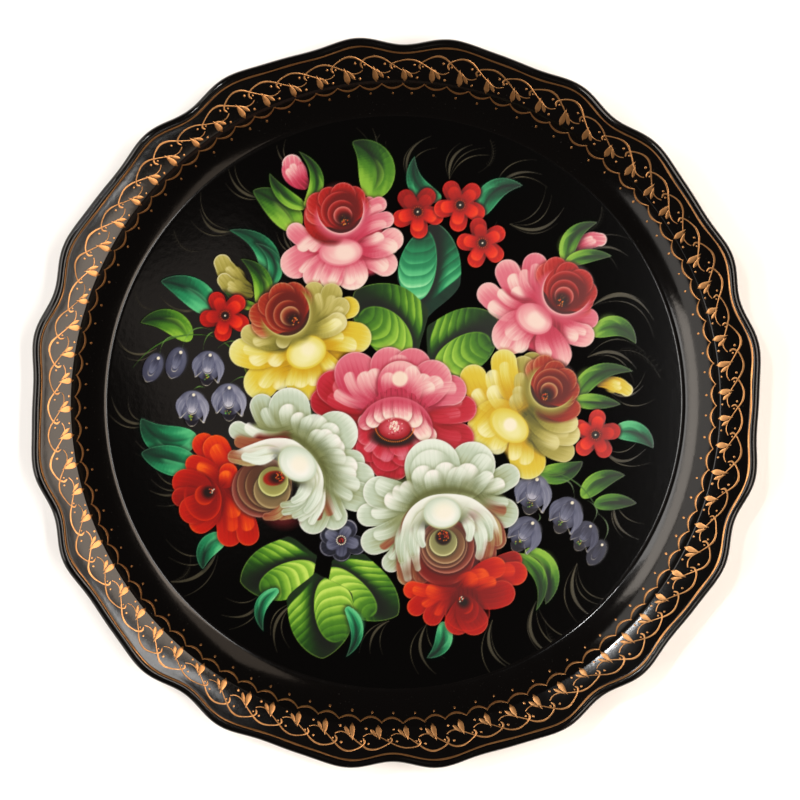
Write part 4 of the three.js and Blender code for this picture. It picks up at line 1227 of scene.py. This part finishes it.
def lathe(name, profile, closed):
    """Turns a profile that starts and ends on the axis, or closes on itself, into a scalloped solid."""
    angles = np.linspace(0.0, TURN, RING_STEPS, endpoint=False)
    rings = profile if closed else profile[1:-1]
    count = len(rings)
    vertices = around(rings[:, 0][:, None], rings[:, 1][:, None],
                      np.broadcast_to(angles, (count, RING_STEPS))).reshape(-1, 3)
    ends = [(step, (step + 1) % RING_STEPS) for step in range(RING_STEPS)]
    faces = []
    for ring in range(count if closed else count - 1):
        this = ring * RING_STEPS
        after = ((ring + 1) % count) * RING_STEPS
        for step, turn in ends:
            faces.append((this + step, this + turn, after + turn, after + step))
    if not closed:
        poles = np.array([[0.0, 0.0, profile[0, 1]], [0.0, 0.0, profile[-1, 1]]]) / PER_METRE
        vertices = np.concatenate([vertices, poles])
        low = count * RING_STEPS
        last = (count - 1) * RING_STEPS
        for step, turn in ends:
            faces.append((turn, step, low))
            faces.append((last + step, last + turn, low + 1))
    return build(name, vertices, faces)


def tray_shell():
    """The pressed pan: floor, cove, flange and rolled edge, one sheet with rounded bends."""
    line = middle_line()
    underside = offset(line, -SHEET / 2.0)
    topside = offset(line, SHEET / 2.0)
    end = line[-1]
    tip = []
    for step in range(1, EDGE_STEPS):
        turn = end[2] - math.pi / 2.0 + math.pi * step / EDGE_STEPS
        tip.append((end[0] + SHEET / 2.0 * math.cos(turn), end[1] + SHEET / 2.0 * math.sin(turn)))
    return lathe("tray_shell", np.concatenate([underside, np.array(tip), topside[::-1]]), False)


def stiffening_wire():
    """The steel wire inside the rolled edge."""
    turns = np.linspace(0.0, TURN, WIRE_STEPS, endpoint=False)
    profile = np.stack([BEAD_CENTRE + WIRE_RADIUS * np.cos(turns),
                        BEAD_HEIGHT + WIRE_RADIUS * np.sin(turns)], 1)
    return lathe("stiffening_wire", profile, True)


# ---------------------------------------------------------------- the painted floor
CANVAS_RADIUS = 181.2
CANVAS_MARGIN = 4.0
CANVAS_CELL = 0.45
PAINTING_PLACE = (-0.9, 2.3)  # the bouquet sits a little off the middle
PAINTING_SIZE = 0.994
FILM = 0.05         # how far the paint film stands above the sheet
RELIEF = 0.45       # how much of a stroke's body shows as height
CLEARANCE = 0.004   # keeps the film's edge clear of the lacquer
SKIRT = 1.2         # how wide the film's edge takes to come down to the lacquer
PIGMENT = 0.57      # how bright the paints are under the strong light
FULL_COVER = 18.0   # how quickly thin paint turns from the lacquer's gloss to its own
PAINTING_SEED = 7


def linear(colour):
    """Light as it mixes, from colour as the eye steps it."""
    colour = np.clip(colour, 0.0, 1.0)
    return np.where(colour <= 0.04045, colour / 12.92, ((colour + 0.055) / 1.055) ** 2.4)


def grid_mesh(name, points, inside):
    """A mesh of the grid cells that touch the inside, and which of the grid's points it uses."""
    cells = inside[:-1, :-1] | inside[1:, :-1] | inside[:-1, 1:] | inside[1:, 1:]
    used = np.zeros_like(inside)
    used[:-1, :-1] |= cells
    used[1:, :-1] |= cells
    used[:-1, 1:] |= cells
    used[1:, 1:] |= cells
    number = np.full(inside.shape, -1)
    number[used] = np.arange(used.sum())
    rows, columns = np.nonzero(cells)
    quads = np.stack([number[rows, columns], number[rows, columns + 1], number[rows + 1, columns + 1],
                      number[rows + 1, columns]], 1)
    mesh = bpy.data.meshes.new(name)
    mesh.vertices.add(used.sum())
    mesh.vertices.foreach_set("co", points[used].ravel())
    mesh.loops.add(quads.size)
    mesh.loops.foreach_set("vertex_index", quads.ravel())
    mesh.polygons.add(len(quads))
    mesh.polygons.foreach_set("loop_start", np.arange(0, quads.size, 4))
    mesh.update(calc_edges=True)
    mesh.validate()
    mesh.shade_smooth()
    return mesh, used


def painted_floor(p):
    """One fine sheet of paint over the tray's floor, with a skirt that meets the lacquer."""
    x, y = np.meshgrid(p.axis * PAINTING_SIZE + PAINTING_PLACE[0], p.axis * PAINTING_SIZE + PAINTING_PLACE[1])
    radius = np.hypot(x, y)
    pull = np.minimum(1.0, CANVAS_RADIUS / np.maximum(radius, 1.0))
    skirt = smooth(CANVAS_RADIUS - radius, 0.0, SKIRT)
    height = SHEET + (FILM + RELIEF * p.body) * skirt + CLEARANCE
    points = np.stack([x * pull, y * pull, height], -1) / PER_METRE
    mesh, used = grid_mesh("painted_floor", points, radius <= CANVAS_RADIUS)
    paint = mesh.attributes.new("paint", "FLOAT_COLOR", "POINT")
    colour = np.concatenate([PIGMENT * linear(p.colour[used]), np.ones((used.sum(), 1))], 1)
    paint.data.foreach_set("color", colour.ravel())
    cover = mesh.attributes.new("cover", "FLOAT", "POINT")
    cover.data.foreach_set("value", np.clip(p.body[used] * FULL_COVER, 0.0, 1.0).ravel())
    return place_in_scene("painted_floor", mesh)


# ---------------------------------------------------------------- the bronze ornament
UNITS = 75
FESTOONS = 93
LAYER = 0.07             # how thick the bronze paint stands
BORDER_RADIUS = 219.4
BORDER_WIDTH = 0.86
BORDER_POINTS = 1441
FESTOON_RADIUS = 199.3
FESTOON_DOT_RADIUS = 193.8
TOP_START = 150.0        # the ornament's part of the profile starts outside this radius
ORNAMENT_SEED = 11
BEAD_TOP = 8             # how many steps of the rolled edge belong to that part too
RIBBON = ((-1.0, -0.02), (-0.72, 0.75), (0.0, 1.0), (0.72, 0.75), (1.0, -0.02))  # its section: side, rise
STRAND = ((208.0, 0.03), (210.2, -0.03), (212.6, 0.10), (214.4, 0.36), (214.9, 0.58), (213.9, 0.82),
          (211.4, 1.06), (208.4, 1.34), (206.3, 1.56), (205.5, 1.74), (205.8, 1.90), (207.0, 2.03))
STRAND_TOP = slice(3, 6)  # the points of a strand whose height varies from one to the next


def top_profile():
    """Radius, height and heading along the top of the cove and flange, up to the rolled edge."""
    line = middle_line()
    top = offset(line, SHEET / 2.0)
    keep = (line[:, 0] > TOP_START) & (np.arange(len(line)) < len(line) - BEAD_STEPS + BEAD_TOP)
    return top[keep, 0], top[keep, 1], line[keep, 2]


class Ornament:
    """Raised bronze brush strokes laid over the cove and flange: arguments are radius and angle round it."""

    def __init__(self, seed):
        self.random = np.random.default_rng(seed)
        self.vertices = []
        self.faces = []
        self.count = 0
        self.radii, self.heights, self.headings = top_profile()

    def place(self, radius, angle, lift):
        """A point on the tray's surface, lifted off it."""
        heading = np.interp(radius, self.radii, self.headings)
        height = np.interp(radius, self.radii, self.heights)
        return around(radius - np.sin(heading) * lift, height + np.cos(heading) * lift, angle)

    def stroke(self, radius, angle, width, lift=LAYER):
        """A ribbon with a domed top along points, of a width that may change along it."""
        width = np.broadcast_to(width, radius.shape)
        middle = radius.mean()
        along_x = np.gradient(angle * middle)
        along_y = np.gradient(radius)
        size = np.maximum(np.hypot(along_x, along_y), 1e-9)
        side_x = -along_y / size
        side_y = along_x / size
        lines = []
        for share, rise in RIBBON:
            out = radius + side_y * share * width / 2.0
            turn = angle + side_x * share * width / 2.0 / middle
            lines.append(self.place(out, turn, lift * rise))
        self.vertices.append(np.stack(lines, 1).reshape(-1, 3))
        across = len(RIBBON)
        for i in range(len(radius) - 1):
            for j in range(across - 1):
                a = self.count + i * across + j
                self.faces.append((a, a + 1, a + across + 1, a + across))
        self.count += len(radius) * across

    def drop(self, start, end, width):
        """A teardrop from its narrow end to its round one, each given as (radius, angle)."""
        t = np.linspace(0.0, 1.0, 10)
        swell = np.sin(math.pi * t ** 1.6) ** 0.75 * width
        self.stroke(start[0] + (end[0] - start[0]) * t, start[1] + (end[1] - start[1]) * t,
                    np.maximum(swell, 0.08))

    def dot(self, radius, angle, size):
        """A round touch of the brush."""
        t = np.linspace(-1.0, 1.0, 7)
        self.stroke(radius + t * size / 2.0, np.full(7, angle), np.maximum(np.sqrt(1.0 - t * t) * size, 0.05))


def border(o):
    """The line round the flange, a little unsteady in place and width."""
    ring = np.linspace(0.0, TURN, BORDER_POINTS)
    wobble = 0.14 * np.cos(23 * ring + 1.0) + 0.10 * np.cos(41 * ring)
    o.stroke(BORDER_RADIUS + wobble, ring, BORDER_WIDTH + 0.20 * np.cos(57 * ring) * np.cos(13 * ring))


def scroll_unit(o, unit):
    """One repeat of the running scroll: a strand that passes over its neighbours, two leaf strokes, dots."""
    wander = o.random
    step = TURN / UNITS
    start = -(unit + wander.uniform(-0.04, 0.04)) * step
    tall = wander.uniform(-0.3, 0.3)
    points = np.array(STRAND)
    points[STRAND_TOP, 0] += tall
    strand = spline(points)
    t = np.linspace(0.0, 1.0, len(strand))
    width = 0.58 + 0.55 * np.exp(-((t - 0.08) / 0.09) ** 2) + 0.50 * np.exp(-((t - 0.40) / 0.16) ** 2)
    o.stroke(strand[:, 0], start - strand[:, 1] * step, width * smooth(t, -0.02, 0.03),
             LAYER * (1.0 + 0.5 * math.cos(unit * math.pi)))
    o.drop((209.4, start - 0.40 * step), (200.3, start - 0.49 * step), wander.uniform(3.3, 3.8))
    o.drop((208.2, start - 0.47 * step), (202.6 + tall, start - 0.75 * step), wander.uniform(1.9, 2.3))
    o.dot(211.0 + tall, start - 0.80 * step, wander.uniform(1.2, 1.5))
    o.dot(209.6, start - 0.10 * step, wander.uniform(1.0, 1.2))
    o.dot(202.6, start - 0.92 * step, wander.uniform(1.2, 1.5))


def festoon(o, lobe):
    """One hanging loop on the cove, with a dot under it."""
    wander = o.random
    turn = TURN / FESTOONS
    start = (lobe + wander.uniform(-0.03, 0.03)) * turn
    t = np.linspace(-0.02, 1.02, 13)
    sag = np.sin(math.pi * np.clip(t, 0.0, 1.0))
    depth = 2.7 + wander.uniform(-0.3, 0.3)
    o.stroke(FESTOON_RADIUS - depth * sag ** 0.75, start + t * turn, 0.55 + 0.55 * sag)
    o.dot(FESTOON_DOT_RADIUS + wander.uniform(-0.4, 0.4), start + (0.5 + wander.uniform(-0.08, 0.08)) * turn,
          wander.uniform(1.2, 1.6))


def rim_ornament():
    """Border line, running scroll and festoons, in one coat of bronze."""
    o = Ornament(ORNAMENT_SEED)
    border(o)
    for unit in range(UNITS):
        scroll_unit(o, unit)
    for lobe in range(FESTOONS):
        festoon(o, lobe)
    return build("rim_ornament", np.concatenate(o.vertices), o.faces)


# ---------------------------------------------------------------- materials
def material(name, **inputs):
    """A new material with some of its shader's inputs set; gives it, its nodes and its shader."""
    made = bpy.data.materials.new(name)
    made.use_nodes = True
    shader = made.node_tree.nodes["Principled BSDF"]
    for key, value in inputs.items():
        shader.inputs[key.replace("_", " ")].default_value = value
    return made, made.node_tree, shader


def noise(tree, scale, detail=3.0):
    """A cloudy pattern that sits still on the object."""
    where = tree.nodes.new("ShaderNodeTexCoord")
    made = tree.nodes.new("ShaderNodeTexNoise")
    made.inputs["Scale"].default_value = scale
    made.inputs["Detail"].default_value = detail
    tree.links.new(where.outputs["Object"], made.inputs["Vector"])
    return made.outputs["Fac"]


def scale_to(tree, source, low, high, from_low=0.0, from_high=1.0):
    """A value brought from one range to another."""
    made = tree.nodes.new("ShaderNodeMapRange")
    made.inputs["From Min"].default_value = from_low
    made.inputs["From Max"].default_value = from_high
    made.inputs["To Min"].default_value = low
    made.inputs["To Max"].default_value = high
    tree.links.new(source, made.inputs["Value"])
    return made.outputs["Result"]


def mix(tree, factor, first, second):
    """Two colours mixed by a factor."""
    made = tree.nodes.new("ShaderNodeMix")
    made.data_type = "RGBA"
    made.inputs["A"].default_value = (*first, 1.0)
    made.inputs["B"].default_value = (*second, 1.0)
    tree.links.new(factor, made.inputs["Factor"])
    return made.outputs["Result"]


def varnish_waves(tree, shader):
    """The faint unevenness of brushed and baked varnish."""
    made = tree.nodes.new("ShaderNodeBump")
    made.inputs["Strength"].default_value = 0.12
    made.inputs["Distance"].default_value = 0.0002
    tree.links.new(noise(tree, 240.0, 2.0), made.inputs["Height"])
    tree.links.new(made.outputs["Normal"], shader.inputs["Normal"])


def attribute(tree, name):
    """A value that the mesh carries."""
    made = tree.nodes.new("ShaderNodeAttribute")
    made.attribute_name = name
    return made


def lacquer():
    """Black baked lacquer: a deep gloss with a faint unevenness, and fine dust caught in it."""
    made, tree, shader = material("black_lacquer", Specular_IOR_Level=0.25)
    dust = scale_to(tree, noise(tree, 900.0, 2.0), 0.0, 1.0, 0.72, 0.80)
    black = mix(tree, dust, (0.0016, 0.0013, 0.0012), (0.03, 0.028, 0.026))
    tree.links.new(black, shader.inputs["Base Color"])
    tree.links.new(scale_to(tree, noise(tree, 60.0), 0.07, 0.16), shader.inputs["Roughness"])
    varnish_waves(tree, shader)
    return made


def oil_paint():
    """Oil paint under clear lacquer: its colours are the painter's strokes."""
    made, tree, shader = material("oil_painting", Specular_IOR_Level=0.25)
    tree.links.new(attribute(tree, "paint").outputs["Color"], shader.inputs["Base Color"])
    cover = attribute(tree, "cover").outputs["Fac"]
    tree.links.new(scale_to(tree, cover, 0.10, 0.34), shader.inputs["Roughness"])
    varnish_waves(tree, shader)
    return made


def bronze():
    """Bronze paint: metal powder in varnish, a little uneven."""
    made, tree, shader = material("bronze_ornament", Metallic=0.88, Specular_IOR_Level=0.5)
    powder = mix(tree, noise(tree, 420.0), (0.23, 0.098, 0.030), (0.40, 0.205, 0.082))
    tree.links.new(powder, shader.inputs["Base Color"])
    tree.links.new(scale_to(tree, noise(tree, 2500.0), 0.26, 0.42), shader.inputs["Roughness"])
    return made


def wire_steel():
    """Drawn steel wire, dull."""
    made, tree, shader = material("wire_steel", Metallic=1.0, Base_Color=(0.42, 0.40, 0.38, 1.0))
    tree.links.new(scale_to(tree, noise(tree, 300.0), 0.35, 0.55), shader.inputs["Roughness"])
    return made


def table_top():
    """The matt white of the table."""
    return material("table_top", Base_Color=(0.90, 0.895, 0.89, 1.0), Roughness=0.8)[0]


# ---------------------------------------------------------------- light, floor and camera
EXPOSURE = 0.28
ROOM_LIGHT = 0.04
LIGHT_DISTANCE = 2.2
TABLE_HALF = 3.0
LIGHTS = (  # name, azimuth, elevation, width, height, radiance, colour
    ("left_window", 178.0, 48.0, 40.0, 10.0, 7.0, (1.0, 0.97, 0.94)),
    ("left_window_blind", 174.0, 36.0, 52.0, 12.0, 7.0, (1.0, 0.90, 0.80)),
    ("left_wall", 180.0, 20.0, 90.0, 18.0, 2.2, (1.0, 0.93, 0.86)),
    ("right_window", 2.0, 55.0, 50.0, 19.0, 6.0, (1.0, 0.84, 0.70)),
    ("right_wall", 0.0, 53.0, 90.0, 20.0, 1.4, (1.0, 0.80, 0.63)),
    ("sky_right", 0.0, 70.0, 40.0, 4.0, 16.0, (1.0, 0.98, 0.96)),
    ("pale_wall", 205.0, 83.5, 12.0, 7.0, 0.75, (1.0, 0.86, 0.76)),
    ("lamp", 133.5, 58.5, 3.0, 2.2, 200.0, (1.0, 1.0, 1.0)),
    ("small_lamp", 141.5, 58.5, 1.3, 1.4, 220.0, (1.0, 1.0, 1.0)),
)
CAMERA_TILT = (-0.04, 0.07)
CAMERA_DISTANCE = 1.18
AIM = (0.0020, 0.0033, 0.0)
SEEN_WIDTH = 0.5031
SENSOR = 36.0


def panel(name, azimuth, elevation, width, height, radiance, colour):
    """A soft light that faces the tray from a direction, its size given as seen from the tray, in degrees."""
    data = bpy.data.lights.new(name, "AREA")
    data.shape = "RECTANGLE"
    data.size = 2.0 * LIGHT_DISTANCE * math.tan(math.radians(width) / 2.0)
    data.size_y = 2.0 * LIGHT_DISTANCE * math.tan(math.radians(height) / 2.0)
    data.energy = radiance * math.pi * data.size * data.size_y
    data.color = colour
    turn = math.radians(azimuth)
    rise = math.radians(elevation)
    towards = Vector((math.cos(turn) * math.cos(rise), math.sin(turn) * math.cos(rise), math.sin(rise)))
    thing = place_in_scene(name, data)
    thing.location = towards * LIGHT_DISTANCE
    thing.rotation_euler = (-towards).to_track_quat("-Z", "Y").to_euler()
    thing.visible_camera = False


def studio():
    """A white table between a window on the left and one on the right, with a small lamp."""
    scene = bpy.context.scene
    scene.view_settings.view_transform = "Standard"
    scene.view_settings.look = "None"
    scene.view_settings.exposure = EXPOSURE
    world = bpy.data.worlds.new("room")
    scene.world = world
    world.use_nodes = True
    back = world.node_tree.nodes["Background"]
    back.inputs["Color"].default_value = (1.0, 0.98, 0.95, 1.0)
    back.inputs["Strength"].default_value = ROOM_LIGHT
    for light in LIGHTS:
        panel(*light)
    corners = np.array(((-1, -1, 0), (1, -1, 0), (1, 1, 0), (-1, 1, 0))) * TABLE_HALF
    floor = build("table_surface", corners, [(0, 1, 2, 3)], False)
    floor.data.materials.append(table_top())


def camera():
    """Looks straight down on the tray, a hair to one side."""
    data = bpy.data.cameras.new("camera")
    data.sensor_width = SENSOR
    data.lens = SENSOR * CAMERA_DISTANCE / SEEN_WIDTH
    back = Vector((CAMERA_TILT[0], CAMERA_TILT[1], 1.0)).normalized()
    right = Vector((0.0, 1.0, 0.0)).cross(back).normalized()
    turn = Matrix((right, back.cross(right), back)).transposed().to_4x4()
    thing = place_in_scene("camera", data)
    thing.matrix_world = Matrix.Translation(Vector(AIM) + back * CAMERA_DISTANCE) @ turn
    bpy.context.scene.camera = thing


# ---------------------------------------------------------------- putting it together
shell = tray_shell()
shell.data.materials.append(lacquer())
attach(shell, "root")
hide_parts("tray_pan")

steel = stiffening_wire()
steel.data.materials.append(wire_steel())
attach(steel, "root")
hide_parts("rim_wire")

painting = Painting(CANVAS_RADIUS + CANVAS_MARGIN, CANVAS_CELL, PAINTING_SEED)
bouquet(painting)
canvas = painted_floor(painting)
canvas.data.materials.append(oil_paint())
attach(canvas, "root")

ornament = rim_ornament()
ornament.data.materials.append(bronze())
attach(ornament, "root")

studio()
camera()
